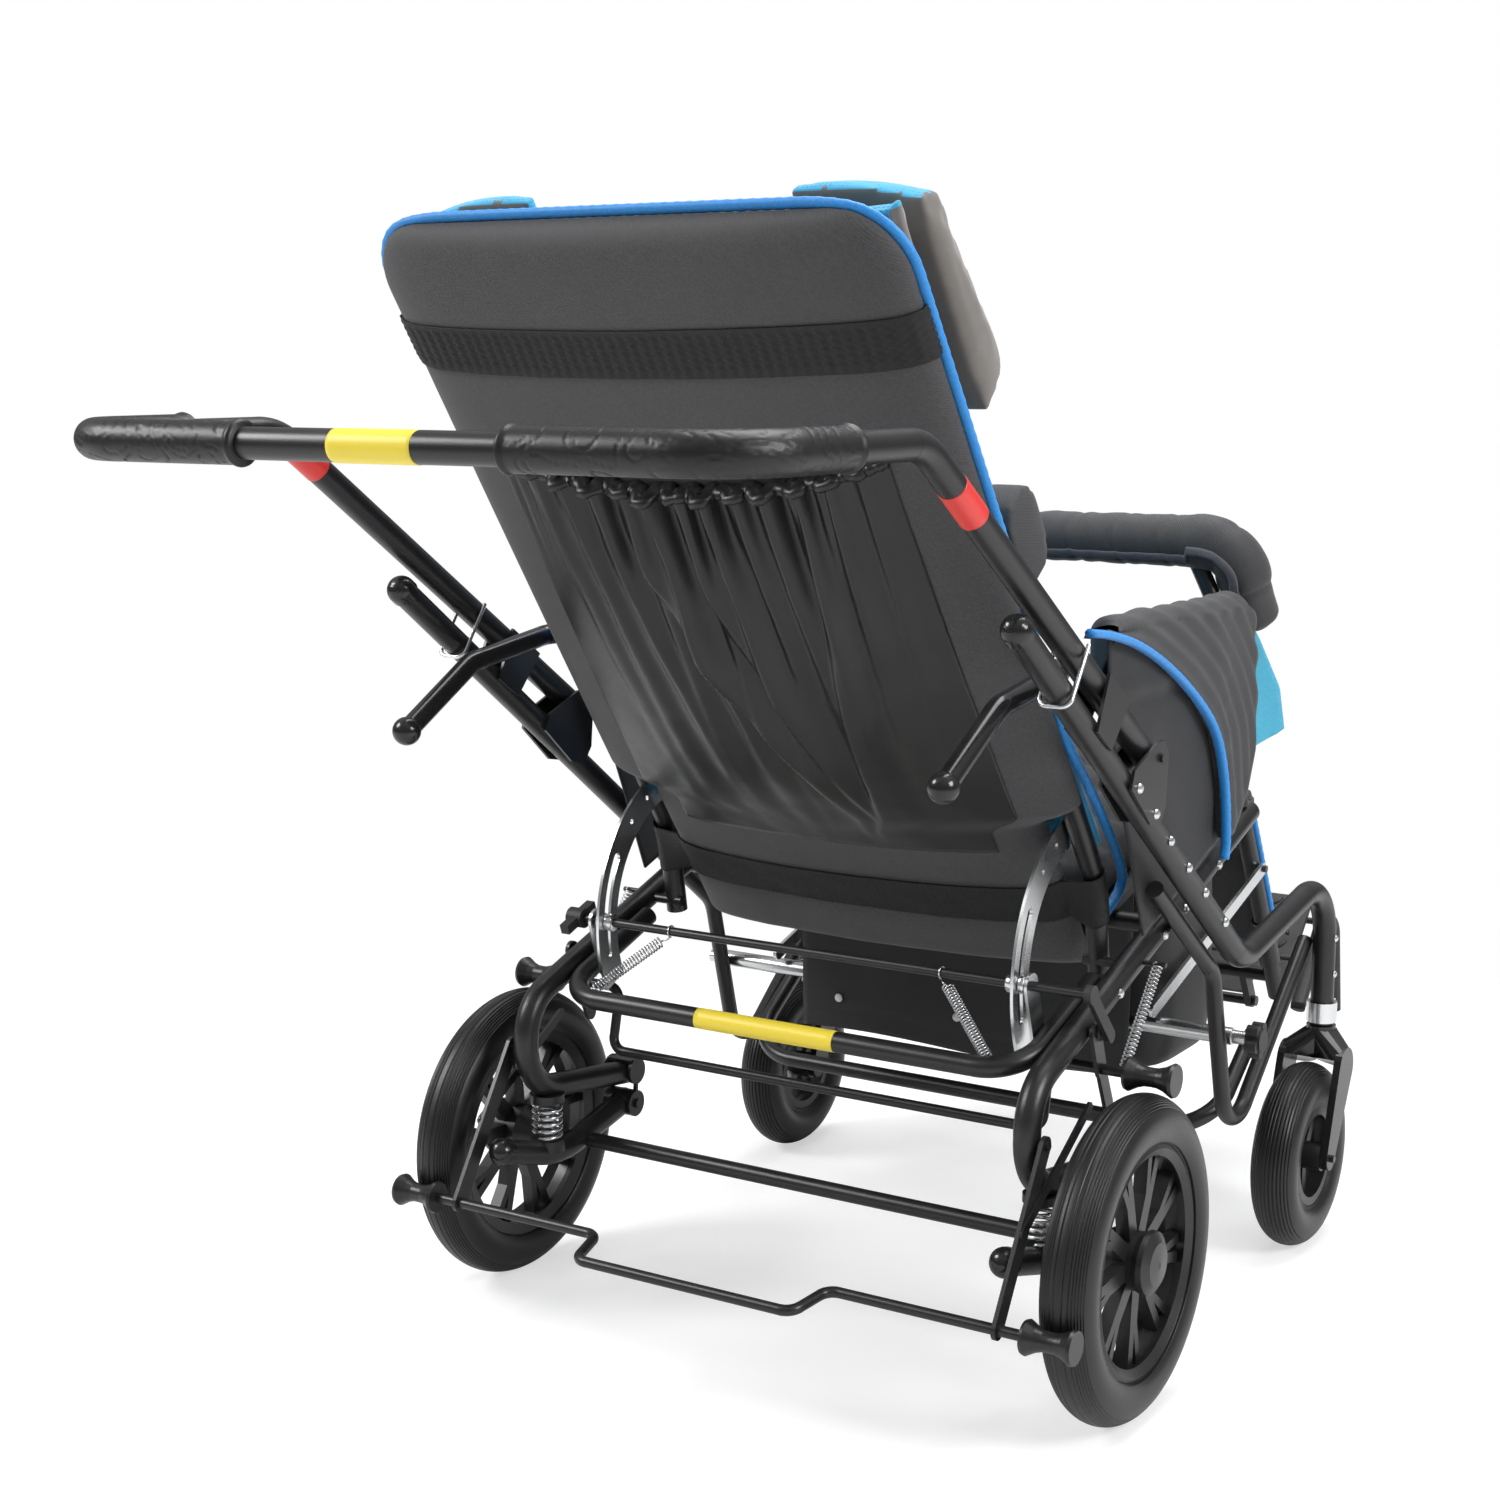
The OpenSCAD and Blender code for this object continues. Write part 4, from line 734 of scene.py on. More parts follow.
def grid_faces(cols, rows):
    wide = cols + 1
    return [(j * wide + i, j * wide + i + 1, (j + 1) * wide + i + 1, (j + 1) * wide + i)
            for j in range(rows) for i in range(cols)]


def thicken(piece, thickness):
    wall = piece.modifiers.new("thickness", "SOLIDIFY")
    wall.thickness = thickness
    wall.offset = 0.0


pocket_cols, pocket_rows = 180, 90
pocket_across = [-1.0 + 2.0 * i / pocket_cols for i in range(pocket_cols + 1)]
pocket_points = [on_pocket(u, j / pocket_rows) for j in range(pocket_rows + 1) for u in pocket_across]
back_pocket = make_piece("back_pocket_cloth", pocket_points, grid_faces(pocket_cols, pocket_rows),
                         satin_nylon)
thicken(back_pocket, 0.0008)
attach(back_pocket, "backrest")
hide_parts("back_pocket")

# Pocket hem: the top edge of the pocket's nylon turned over its elastic and stitched down.
# The elastic gathers it into close ruffles.
hem_path = [on_pocket(u, 1.0, 1.0) for u in pocket_across]


def hem_round(i, turn, p):
    ruffle = math.sin(150.0 * pocket_across[i] + 1.1 * math.sin(9.0 * pocket_across[i]))
    return 0.0044 * (1.0 + 0.13 * ruffle) * (1.0 + 1.10 * abs(math.sin(turn)) ** 2)


pocket_hem = make_piece("pocket_hem", *swept(hem_path, 14, hem_round), satin_nylon)
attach(pocket_hem, "backrest")

# Back bands: a wide knitted elastic drawn across the top of the shell and a ribbed webbing
# strap across its foot, both carried round the sides to the back tubes.
black_webbing = woven_cloth("black_webbing", ((0.003, 0.003, 0.004), (0.009, 0.009, 0.010)),
                            (0.55, 0.75), 0.0024, 0.5, tilt=-back_tilt)
tube_half, loop_radius = 245.0, 12.6


def tube_centre(up):
    """How far ahead of the pivot line the middle of a back tube lies, below its bend."""
    return float(np.interp(up, [-14.0, 48.0, 62.0, 75.0, 100.0], [0.0, 29.3, 34.5, 38.0, 42.0]))


def band_points(low, high, cols, rows, relief, side_reach):
    """A strip across the shell. It ends on the shell's sides, or goes round the back tubes."""
    points = []
    for j in range(rows + 1):
        v = j / rows
        up = low + (high - low) * v
        half = shell_half(up)
        wrapped = 0.965 if side_reach else 0.86
        for i in range(cols + 1):
            t = -1.0 + 2.0 * i / cols
            if abs(t) <= wrapped:
                x = t / wrapped * half * 0.992
                y = shell_rear(x, up) - 1.4 - relief(i, j, v)
            else:
                k = (abs(t) - wrapped) / (1.0 - wrapped)
                if side_reach:
                    x = math.copysign(half + 1.6 + relief(i, j, v), t)
                    y = shell_rear(half * 0.992, up) + k * side_reach
                else:
                    turn = math.radians(-100.0 + 200.0 * k)
                    x = math.copysign(tube_half + loop_radius * math.cos(turn), t)
                    y = tube_centre(up) + loop_radius * math.sin(turn)
            points.append(on_back(x, y, up))
    return points


def knit(i, j, v):
    """The relief of the elastic: staggered loops, with flat edges."""
    cell = math.sin(i * 0.72 + (1.6 if j % 4 < 2 else 0.0)) * math.sin(j * math.pi / 2 + 0.8)
    return 1.6 * max(-0.3, cell) * (0.25 if v < 0.08 or v > 0.92 else 1.0)


def ribbed(i, j, v):
    """The relief of the webbing: ribs along it, crossed by the threads."""
    return 0.55 * (1 if j % 2 else 0) + 0.35 * (1 if (i // 2 + j) % 2 else 0)


for name, low, high, cols, rows, relief, reach, length in (
    ("top_elastic", elastic_low, elastic_high, 420, 26, knit, 16.0, 0.60),
    ("foot_webbing", webbing_low, webbing_high, 340, 20, ribbed, 0.0, 0.60),
):
    strip = make_piece(name, band_points(low, high, cols, rows, relief, reach),
                       grid_faces(cols, rows), black_webbing)
    thicken(strip, 0.0016)
    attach(strip, "backrest")
    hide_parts("back_straps")


# Cushions: foam cut to shape and sewn into cloth covers. Each is filled by a short run of
# the cloth solver inside a cap, then its sewn channels are drawn in.
def closed_slab(front, rear, cols, rows):
    """A pad from two grids of points, joined round their edge."""
    wide, count = cols + 1, (cols + 1) * (rows + 1)
    cells = grid_faces(cols, rows)
    rim = list(range(wide)) + [j * wide + cols for j in range(1, rows + 1)]
    rim += [rows * wide + i for i in range(cols - 1, -1, -1)]
    rim += [j * wide for j in range(rows - 1, 0, -1)]
    faces = cells + [tuple(reversed([k + count for k in cell])) for cell in cells]
    faces += [(rim[k], rim[k - 1], rim[k - 1] + count, rim[k] + count) for k in range(len(rim))]
    return front + rear, faces


def box_cushion(width, length, thick, round_by, cols, rows, crown):
    """A cushion blank lying flat: width along X, length along Y, its foot at Z 0."""
    draw = 0.018
    upper, lower = [], []
    for j in range(rows + 1):
        v = -1.0 + 2.0 * j / rows
        for i in range(cols + 1):
            u = -1.0 + 2.0 * i / cols
            x = width / 2 * u * (1.0 - draw * math.cos(v * math.pi / 2))
            y = length / 2 * v * (1.0 - draw * math.cos(u * math.pi / 2))
            fall = 1.0
            for share, whole in ((u, width), (v, length)):
                ease = min(1.0, (1.0 - abs(share)) * whole / 2 / round_by)
                fall *= (1.0 - (1.0 - ease) ** 2) ** 0.5
            dome = crown * (1.0 - u * u) * (1.0 - v * v)
            upper.append((x, y, thick * (0.42 + 0.5 * fall) + dome))
            lower.append((x, y, thick * 0.10 * (1.0 - fall)))
    return closed_slab(upper, lower, cols, rows)


fill_pressure, fill_frames = 4.0, 20


def filled(piece, voxel, cap, pinned):
    """Fills a sewn blank: an even mesh, then cloth under pressure, with a cap on its swelling."""
    even = piece.modifiers.new("even_mesh", "REMESH")
    even.mode = "VOXEL"
    even.voxel_size = voxel
    finish_one_mesh(piece)
    mesh = piece.data
    rest = np.array([v.co for v in mesh.vertices])
    group = piece.vertex_groups.new(name="sewn_down")
    held = [i for i, p in enumerate(rest) if pinned(p)]
    if held:
        group.add(held, 1.0, "REPLACE")
    fill = piece.modifiers.new("fill", "CLOTH")
    fill.settings.quality = 4
    fill.settings.mass = 0.25
    fill.settings.tension_stiffness = 14.0
    fill.settings.compression_stiffness = 14.0
    fill.settings.bending_stiffness = 0.4
    fill.settings.use_pressure = True
    fill.settings.uniform_pressure_force = fill_pressure
    fill.settings.effector_weights.gravity = 0.0
    fill.collision_settings.use_collision = False
    if held:
        fill.settings.vertex_group_mass = "sewn_down"
    for number in range(1, fill_frames + 1):
        scene.frame_set(number)
    swollen = piece.evaluated_get(bpy.context.evaluated_depsgraph_get()).to_mesh()
    moved = np.array([v.co for v in swollen.vertices])
    piece.modifiers.clear()
    scene.frame_set(1)
    piece.vertex_groups.clear()
    shift = moved - rest
    far = np.linalg.norm(shift, axis=1, keepdims=True)
    shift *= np.minimum(1.0, cap / np.maximum(far, 1e-9))
    mesh.vertices.foreach_set("co", (rest + shift).astype(np.float32).ravel())
    mesh.update()


def finish_one_mesh(piece):
    """Takes the modifiers into the mesh."""
    evaluated = piece.evaluated_get(bpy.context.evaluated_depsgraph_get())
    whole = bpy.data.meshes.new_from_object(evaluated)
    material = piece.data.materials[0]
    piece.modifiers.clear()
    piece.data = whole
    if not whole.materials:
        whole.materials.append(material)
    whole.polygons.foreach_set("use_smooth", [True] * len(whole.polygons))


def reshape(piece, change):
    """Moves each point of a piece; change takes and gives numpy rows."""
    points = np.array([v.co for v in piece.data.vertices])
    piece.data.vertices.foreach_set("co", change(points).astype(np.float32).ravel())
    piece.data.update()


def sewn_channels(places, depth, width, foot):
    """Draws stitched lines across Y into the upper side of a cushion that lies flat."""
    def change(points):
        upper = np.clip((points[:, 2] - foot) / (points[:, 2].max() - foot), 0.0, 1.0)
        for place in places:
            off = np.abs(points[:, 1] - place)
            valley = np.exp(-(off / width) ** 2)
            stitch = np.exp(-(off / (width * 0.22)) ** 2)
            points[:, 2] -= depth * upper * (0.72 * valley + 0.28 * stitch)
        return points
    return change


def flat_foot(points):
    """Keeps the underside of a cushion from swelling below its foot."""
    points[:, 2] = np.maximum(points[:, 2], 0.0003)
    return points


def channelled_pad(name, blank, cloth, voxel, cap, pinned_below, *channels):
    """A filled cushion that lies flat, with its channels sewn in."""
    pad = make_piece(name, *box_cushion(*blank), cloth)
    filled(pad, voxel, cap, lambda p: p[2] < pinned_below)
    reshape(pad, sewn_channels(*channels))
    reshape(pad, flat_foot)
    return pad


def rounded_off(piece):
    softer = piece.modifiers.new("rounded", "SUBSURF")
    softer.levels = 1
    softer.render_levels = 1


mesh_weave, given, result = weave_group("spacer_mesh", 0.005)
hole_rate = combined(mesh_weave, "DIVIDE", 1.0, given.outputs["Pitch"])
holes = add(mesh_weave, "TexVoronoi", {"Vector": given.outputs["Vector"], "Scale": hole_rate,
                                       "Randomness": 0.25})
pores = add(mesh_weave, "MapRange", {"Value": holes.outputs["Distance"], "From Min": 0.12,
                                     "From Max": 0.42})
mesh_weave.links.new(pores.outputs[0], result.inputs["Height"])
mesh_weave.links.new(pores.outputs[0], result.inputs["Tone"])
sky_mesh = woven_cloth("sky_mesh", ((0.020, 0.215, 0.390), (0.045, 0.360, 0.600)),
                       (0.72, 0.86), 0.0042, 0.6, tilt=-back_tilt, group=mesh_weave, sheen=0.2)
charcoal_pad = woven_cloth("charcoal_pad", ((0.026, 0.026, 0.028), (0.052, 0.052, 0.056)),
                           (0.68, 0.84), 0.0026, 0.4, sheen=0.10)


def placed(piece, origin, along_x, along_y, along_z):
    """Lays a flat-made piece into the frame by three directions, and keeps it in the mesh."""
    lay = Matrix((along_x, along_y, along_z)).transposed().to_4x4()
    piece.data.transform(Matrix.Translation(origin) @ lay)
    piece.data.update()


# Seat cushion: a foam cushion in charcoal cloth with five sewn channels. It lies on the seat
# board, held to it by hook tape.
seat_pitch = math.radians(14.6)
seat_middle = 377.5
seat_way = Vector((0.0, math.cos(seat_pitch), math.sin(seat_pitch)))
seat_up = Vector((0.0, -math.sin(seat_pitch), math.cos(seat_pitch)))


def seat_height(ahead):
    """The height of the seat frame's tubes at a place ahead of the axle."""
    return 407.7 + (ahead - 215.0) * math.tan(seat_pitch)


seat_foot = metres(0.0, seat_middle, seat_height(seat_middle)) + seat_up * 0.0188
seat_pad = channelled_pad("seat_pad", (0.456, 0.376, 0.042, 0.022, 46, 40, 0.004), charcoal_pad,
                          0.006, 0.006, 0.004, [-0.12, -0.06, 0.0, 0.06, 0.12], 0.011, 0.012, 0.012)
placed(seat_pad, seat_foot, Vector((1, 0, 0)), seat_way, seat_up)
rounded_off(seat_pad)
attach(seat_pad, "chassis")
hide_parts("seat_cushion")

# Back cushion: a long pad of foam under blue spacer mesh, buttoned to the front of the back
# tubes, with five sewn channels across it. Grey-brown suede faces its sides beside the head.
suede_nap, given, result = weave_group("suede_nap", 0.01)
nap_rate = combined(suede_nap, "DIVIDE", 1.0, given.outputs["Pitch"])
brushed = add(suede_nap, "TexNoise", {"Vector": given.outputs["Vector"], "Scale": nap_rate,
                                      "Detail": 7.0, "Roughness": 0.7})
swirl_rate = combined(suede_nap, "MULTIPLY", nap_rate, 0.18)
swirl = add(suede_nap, "TexNoise", {"Vector": given.outputs["Vector"], "Scale": swirl_rate,
                                    "Detail": 3.0})
suede_nap.links.new(brushed.outputs["Fac"], result.inputs["Height"])
both_naps = combined(suede_nap, "ADD", combined(suede_nap, "MULTIPLY", brushed.outputs["Fac"], 0.6),
                     combined(suede_nap, "MULTIPLY", swirl.outputs["Fac"], 0.5))
suede_nap.links.new(both_naps, result.inputs["Tone"])
suede = woven_cloth("grey_suede", ((0.080, 0.072, 0.064), (0.185, 0.170, 0.155)),
                    (0.82, 0.95), 0.012, 0.25, group=suede_nap, sheen=0.35)
back_right = Vector((-1, 0, 0))
back_up = Vector((0.0, -back_sin, back_cos))
back_out = Vector((0.0, back_cos, back_sin))
back_pad = channelled_pad("back_pad", (0.506, 0.712, 0.033, 0.018, 50, 66, 0.003), sky_mesh,
                          0.006, 0.005, 0.003, [-0.24, -0.12, 0.0, 0.12, 0.24], 0.009, 0.013, 0.010)
back_pad.data.materials.append(suede)
for face in back_pad.data.polygons:
    face.material_index = 1 if abs(face.normal.x) > 0.35 and 0.128 < face.center.y < 0.350 else 0
placed(back_pad, on_back(0.0, 53.4, 448.0), back_right, back_up, back_out)
rounded_off(back_pad)
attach(back_pad, "backrest")
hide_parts("back_cushion")


# Head supports and trunk pads: shaped foam blocks held to the back cushion by hook tape.
# Grey-brown suede covers a head support's outer and rear sides and blue mesh the others; a
# trunk pad has suede on its inner side and charcoal cloth on the others.
def prism(outline, inner, outer, slices):
    """A block with a flat outline of (forward, up) points, in slices from side to side."""
    points = [(inner(y) + (outer - inner(y)) * k / slices, y, z)
              for k in range(slices + 1) for y, z in outline]
    return points, ring_faces(slices + 1, len(outline))


def eased_outline(outline, rounds):
    for _ in range(rounds):
        outline = [tuple(np.array(a) * w + np.array(b) * (1 - w))
                   for a, b in zip(outline, outline[1:] + outline[:1]) for w in (0.8, 0.2)]
    return outline


def wedge_inner(forward):
    """The inner side of a head support, which falls back towards the outer side at its front."""
    return 132.0 + 78.0 * max(0.0, min(1.0, (forward - 106.0) / 32.0))


def lowered_top(points):
    """Lets the top of a head support fall towards its outer side."""
    outward = np.clip((np.abs(points[:, 0]) - 0.175) / 0.075, 0.0, 1.0)
    upward = np.clip((points[:, 2] - 0.68) / 0.10, 0.0, 1.0)
    points[:, 2] -= 0.013 * outward ** 2 * upward
    return points


head_outline = [(90.5, 799.0), (106.0, 796.0), (120.0, 790.0), (125.0, 776.0), (132.0, 720.0),
                (140.0, 660.0), (143.0, 622.0), (139.0, 592.0), (112.0, 581.0), (90.5, 578.0)]
trunk_outline = [(88.0, 382.0), (147.0, 384.0), (147.0, 472.0), (88.0, 474.0)]
for side, hand in both_sides:
    for name, outline, inner_side, outer_side, is_head, eased in (
        ("head_support_" + hand, head_outline, wedge_inner, 252.0, True, 1),
        ("trunk_pad_" + hand, trunk_outline, lambda forward: 203.0, 241.0, False, 2),
    ):
        points, faces = prism(eased_outline(outline, eased), inner_side, outer_side, 6)
        points = [Vector((side * x, y, z)) / 1000.0 for x, y, z in points]
        block = make_piece(name, points, faces, suede)
        if side > 0:
            block.data.flip_normals()
        if is_head:
            reshape(block, lowered_top)
        filled(block, 0.005, 0.003, lambda p: p[1] < 0.094)
        block.data.materials.append(sky_mesh if is_head else charcoal_pad)
        for face in block.data.polygons:
            outward = face.normal.x * side
            in_suede = (outward > 0.5 or face.normal.y < -0.4) if is_head else outward < -0.3
            face.material_index = 0 if in_suede else 1
        placed(block, on_back(0.0, 0.0, 0.0), Vector((1, 0, 0)), back_out, back_up)
        rounded_off(block)
        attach(block, "backrest")
        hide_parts("head_supports")

# Side linings: thin padded panels of black cloth buttoned outside the arm posts, from the
# seat rail up to the arm tube. A pleat runs along each one below the arm.
lining_foot = [(54, 384), (86, 388), (200, 428), (330, 474), (372, 524), (400, 590), (414, 668)]
lining_top = [(54, 703), (60, 705), (215, 701.5), (396, 702), (414, 684)]
lining_rear = [(0.0, 152.0), (0.35, 112.0), (0.7, 66.0), (1.0, 54.0)]


def along_line(line, ahead):
    return float(np.interp(ahead, [p[0] for p in line], [p[1] for p in line]))


lining_cloth = woven_cloth("lining_cloth", ((0.011, 0.011, 0.012), (0.022, 0.022, 0.024)),
                           (0.62, 0.8), 0.0026, 0.4, sheen=0.08, turn=90.0)
lining_front, lining_outer, lining_inner = 414.0, 289.6, 286.6
lining_cols, lining_rows = 60, 60
for side, hand in both_sides:
    outer_grid, inner_grid = [], []
    for j in range(lining_rows + 1):
        for i in range(lining_cols + 1):
            rear = along_line(lining_rear, j / lining_rows)
            ahead = rear + (lining_front - rear) * i / lining_cols
            low, high = along_line(lining_foot, ahead), along_line(lining_top, ahead)
            z = low + (high - low) * j / lining_rows
            ease = min(1.0, 5.0 * min(i, lining_cols - i, j, lining_rows - j) / lining_rows)
            pleat = (3.0 * math.exp(-((z - 655.0) / 9.0) ** 2)
                     - 2.0 * math.exp(-((z - 640.0) / 6.0) ** 2))
            rumple = 2.4 * noise.noise(Vector((ahead * 0.016, z * 0.02, side * 3.0)))
            swell = ease * (1.4 + rumple + pleat * (1.0 if ahead < 330.0 else 0.2))
            outer_grid.append(metres(side * (lining_outer + max(-1.5, swell)), ahead, z))
            inner_grid.append(metres(side * (lining_inner + 0.8 * (1.0 - ease)), ahead, z))
    slab = closed_slab(outer_grid, inner_grid, lining_cols, lining_rows)
    lining = make_piece("side_lining_" + hand, *slab, lining_cloth)
    if side < 0:
        lining.data.flip_normals()
    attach(lining, "chassis")
    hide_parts("side_panel_" + hand)

# Side wings: padded cloth saddles folded over the arm tubes. Each hangs lower at the front,
# its stitched ridges follow its curved rear edge, and a blue binding closes that edge.
wing_edge = [(-8, 716), (40, 710), (100, 696), (171, 669), (240, 632), (288, 593), (312, 540),
             (321, 478), (316, 460)]
wing_foot = wing_edge[:8] + [(340, 482), (372, 516), (392, 560)]
wing_rear, wing_front, wing_crest = -8.0, 392.0, 722.0
arm_x, arm_end = 279.0, 60.0
outer_count, over_count = 31, 11
quilt = woven_cloth("charcoal_quilt", ((0.024, 0.024, 0.026), (0.046, 0.046, 0.050)),
                    (0.62, 0.80), 0.0028, 0.4, sheen=0.12, turn=90.0)
edge_curve = smooth_line([Vector((a, z, 0.0)) for a, z in wing_edge], step=6.0)


def off_edge(ahead, z):
    """How far a place on a wing lies from its rear edge."""
    return min(math.hypot(ahead - q.x, z - q.y) for q in edge_curve)


def wing_loop(ahead):
    """The closed section of a wing at a place ahead of the axle, as (side, height) points."""
    crest = wing_crest - 10.0 * max(0.0, (ahead - 360.0) / 32.0) ** 2
    foot = min(along_line(wing_foot, ahead), crest - 12.0)
    shoulder = max(foot + 4.0, crest - 13.0)
    hang = 300.0 + 5.0 * min(1.0, (shoulder - foot) / 120.0)
    shares = [k / (outer_count - 1) for k in range(outer_count)]
    outer = [(hang - 5.0 * t ** 2, foot + (shoulder - foot) * t) for t in shares]
    over = [(arm_x + 17.5 * math.cos(a), shoulder + (crest - shoulder) * math.sin(a))
            for a in np.linspace(0.2, math.pi - 0.2, over_count)]
    inner = [(261.5, shoulder - 60.0 * k / 8) for k in range(9)]
    lining = [(265.6, shoulder - 60.0 + 54.0 * k / 8) for k in range(9)]
    under = [(arm_x + 12.5 * math.cos(a), shoulder - 3.0 + 6.0 * math.sin(a))
             for a in np.linspace(math.pi - 0.1, 0.1, 9)]
    back = [(292.8, shoulder - 4.0 - (shoulder - 4.0 - foot) * t) for t in shares]
    folded = max(0.0, min(1.0, (ahead - arm_end) / 16.0))
    saddle = [(296.0 + (x - 296.0) * folded,
               shoulder + (z - shoulder) * max(folded, 0.5 if z > shoulder else 0.0))
              for x, z in over + inner + lining + under]
    return outer + saddle + back


wing_cols, wing_sides = 100, len(wing_loop(wing_rear))
for side, hand in both_sides:
    wing_points = []
    for i in range(wing_cols + 1):
        ahead = wing_rear + (wing_front - wing_rear) * i / wing_cols
        for k, (x, z) in enumerate(wing_loop(ahead)):
            depth = off_edge(ahead, z)
            ridges = 1.5 * math.cos(math.tau * depth / 21.0) * min(1.0, depth / 20.0)
            rumple = 2.2 * noise.noise(Vector((ahead * 0.018, z * 0.021, side * 2.0)))
            if k < outer_count:
                x += (ridges + rumple) * min(1.0, k / 3.0)
            elif k < outer_count + over_count:
                z += 1.2 * rumple + 0.7 * ridges
            wing_points.append(metres(side * x, ahead, z))
    wing = make_piece("side_wing_" + hand, wing_points, ring_faces(wing_cols + 1, wing_sides), quilt)
    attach(wing, "chassis")
    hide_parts("arm_pads")
    bound = [metres(side * (299.0 + 5.0 * min(1.0, max(0.0, 645.0 - z) / 60.0)), ahead, z - 1.0)
             for ahead, z in wing_edge]
    binding("wing_binding_" + hand, bound, "chassis")

# Bumper cover: a padded sleeve of quilted black cloth zipped round the bar, longer than the
# bar, so that its ends hang down. A grey zip tape runs along its lower rear edge.
bumper_cloth = woven_cloth("bumper_cloth", ((0.016, 0.016, 0.018), (0.034, 0.034, 0.037)),
                           (0.55, 0.75), 0.0024, 0.4, sheen=0.15)
zip_tape = woven_cloth("zip_tape", ((0.085, 0.082, 0.090), (0.135, 0.130, 0.145)),
                       (0.6, 0.75), 0.0018, 0.5)
droop = Vector((0.0, 65.0, -90.0)).normalized() * 104.0
bar_corner = Vector((275.0, 395.0, 770.0))
bar_end = bar_corner + droop
mirrored = Vector((-1.0, 1.0, 1.0))
bumper_line = [bar_end, bar_corner, bar_corner * mirrored, bar_end * mirrored]
bumper_bend, bumper_step, bumper_radius = 0.036, 0.003, 0.0258
bumper_path = rounded_path([metres(*p) for p in bumper_line], bumper_bend, bumper_step)
bumper_last = len(bumper_path) - 1


def bumper_swell(i, turn, p):
    """The radius of the sleeve: quilted, rumpled, and tucked in at its ends."""
    along = i * bumper_step
    crease = abs((along / 0.052 + 0.10 * math.sin(turn * 2.0)) % 1.0 - 0.5) * 2.0
    quilted = 0.0022 * (1.0 - crease ** 6) - 0.0012
    rumple = 0.0016 * noise.noise(p * 60.0) + 0.0022 * noise.noise(p * 24.0 + Vector((0, 0, 5.0)))
    end = min(i, bumper_last - i) * bumper_step
    tuck = 0.0075 * max(0.0, 1.0 - end / 0.010) ** 2
    flare = 0.0015 * math.exp(-((end - 0.085) / 0.03) ** 2)
    return bumper_radius + quilted + rumple - tuck + flare


bumper_cover = make_piece("bumper_cover", *swept(bumper_path, 56, bumper_swell), bumper_cloth)
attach(bumper_cover, "chassis")
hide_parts("bumper_pad")
path, frames = carried_frames(bumper_path)
zip_cols, zip_inset = 4, 3
zip_rings = range(zip_inset, bumper_last - zip_inset + 1)
tape_points = []
for i in zip_rings:
    (across, over), p = frames[i], path[i]
    lower_rear = Vector((0.0, -0.80, -0.60)) if abs(p.x) < 0.23 else Vector((0.0, -0.95, -0.30))
    turn = math.atan2(lower_rear.dot(over), lower_rear.dot(across))
    for k in range(zip_cols + 1):
        at_turn = turn + (k - zip_cols // 2) * 0.085
        teeth = 0.0006 if k == zip_cols // 2 else 0.0
        reach = bumper_swell(i, at_turn % math.tau, p) + 0.0010 + teeth
        tape_points.append(p + (across * math.cos(at_turn) + over * math.sin(at_turn)) * reach)
zip_strip = make_piece("bumper_zip", tape_points, grid_faces(zip_cols, len(zip_rings) - 1), zip_tape)
thicken(zip_strip, 0.0010)
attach(zip_strip, "chassis")

# Lining flap: a loose tongue of turquoise lining cloth, sewn into the seam of the bumper
# cover. It hangs beside the right bumper end and billows a little.
flap_cloth = woven_cloth("turquoise_lining", ((0.045, 0.330, 0.500), (0.070, 0.420, 0.600)),
                         (0.6, 0.75), 0.0016, 0.3, sheen=0.2)
flap_run = Vector((42.0, 46.0, 0.0)).normalized()
flap_side = flap_run.cross(Vector((0, 0, 1)))
flap_out = [(541.0, 0.5), (570.0, 74.0), (616.0, 66.0), (668.0, 40.0), (696.0, 22.0)]
flap_low, flap_high = flap_out[0][0], flap_out[-1][0]
flap_cols, flap_rows = 12, 30
flap_points = []
for j in range(flap_rows + 1):
    z = flap_low + (flap_high - flap_low) * j / flap_rows
    reach = along_line(flap_out, z)
    for i in range(flap_cols + 1):
        s = reach * i / flap_cols
        billow = 1.5 + 5.0 * math.sin(s * 0.06 + z * 0.012) * (1.0 - (z - flap_low) / 160.0)
        flap_points.append(metres(*(Vector((256.0, 420.0, z)) + flap_run * s + flap_side * billow)))
flap = make_piece("bumper_lining", flap_points, grid_faces(flap_cols, flap_rows), flap_cloth)
thicken(flap, 0.0012)
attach(flap, "chassis")
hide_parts("bumper_flap")

# Basket: a bag of coated black nylon hung from the seat frame's tubes under the seat, with
# rounded corners and a floor that sags.
bag_nylon = woven_cloth("bag_nylon", ((0.006, 0.006, 0.007), (0.012, 0.012, 0.013)),
                        (0.5, 0.66), 0.0016, 0.3, sheen=0.1)
bag_half, bag_rear, bag_front, bag_low = 220.5, 359.5, 538.5, 207.5
bag_middle, bag_reach = (bag_rear + bag_front) / 2, (bag_front - bag_rear) / 2
bag_points, bag_sides = [], 96
bag_levels = [1.0, 0.9, 0.8, 0.7, 0.6, 0.5, 0.4, 0.3, 0.2, 0.12, 0.06, 0.02, 0.0, 0.0, 0.0, 0.0]
bag_inset = [0, 0, 0, 0, 0, 0, 0, 0, 0, 0.6, 2.5, 7.0, 16.0, 34.0, 52.0, 68.0]
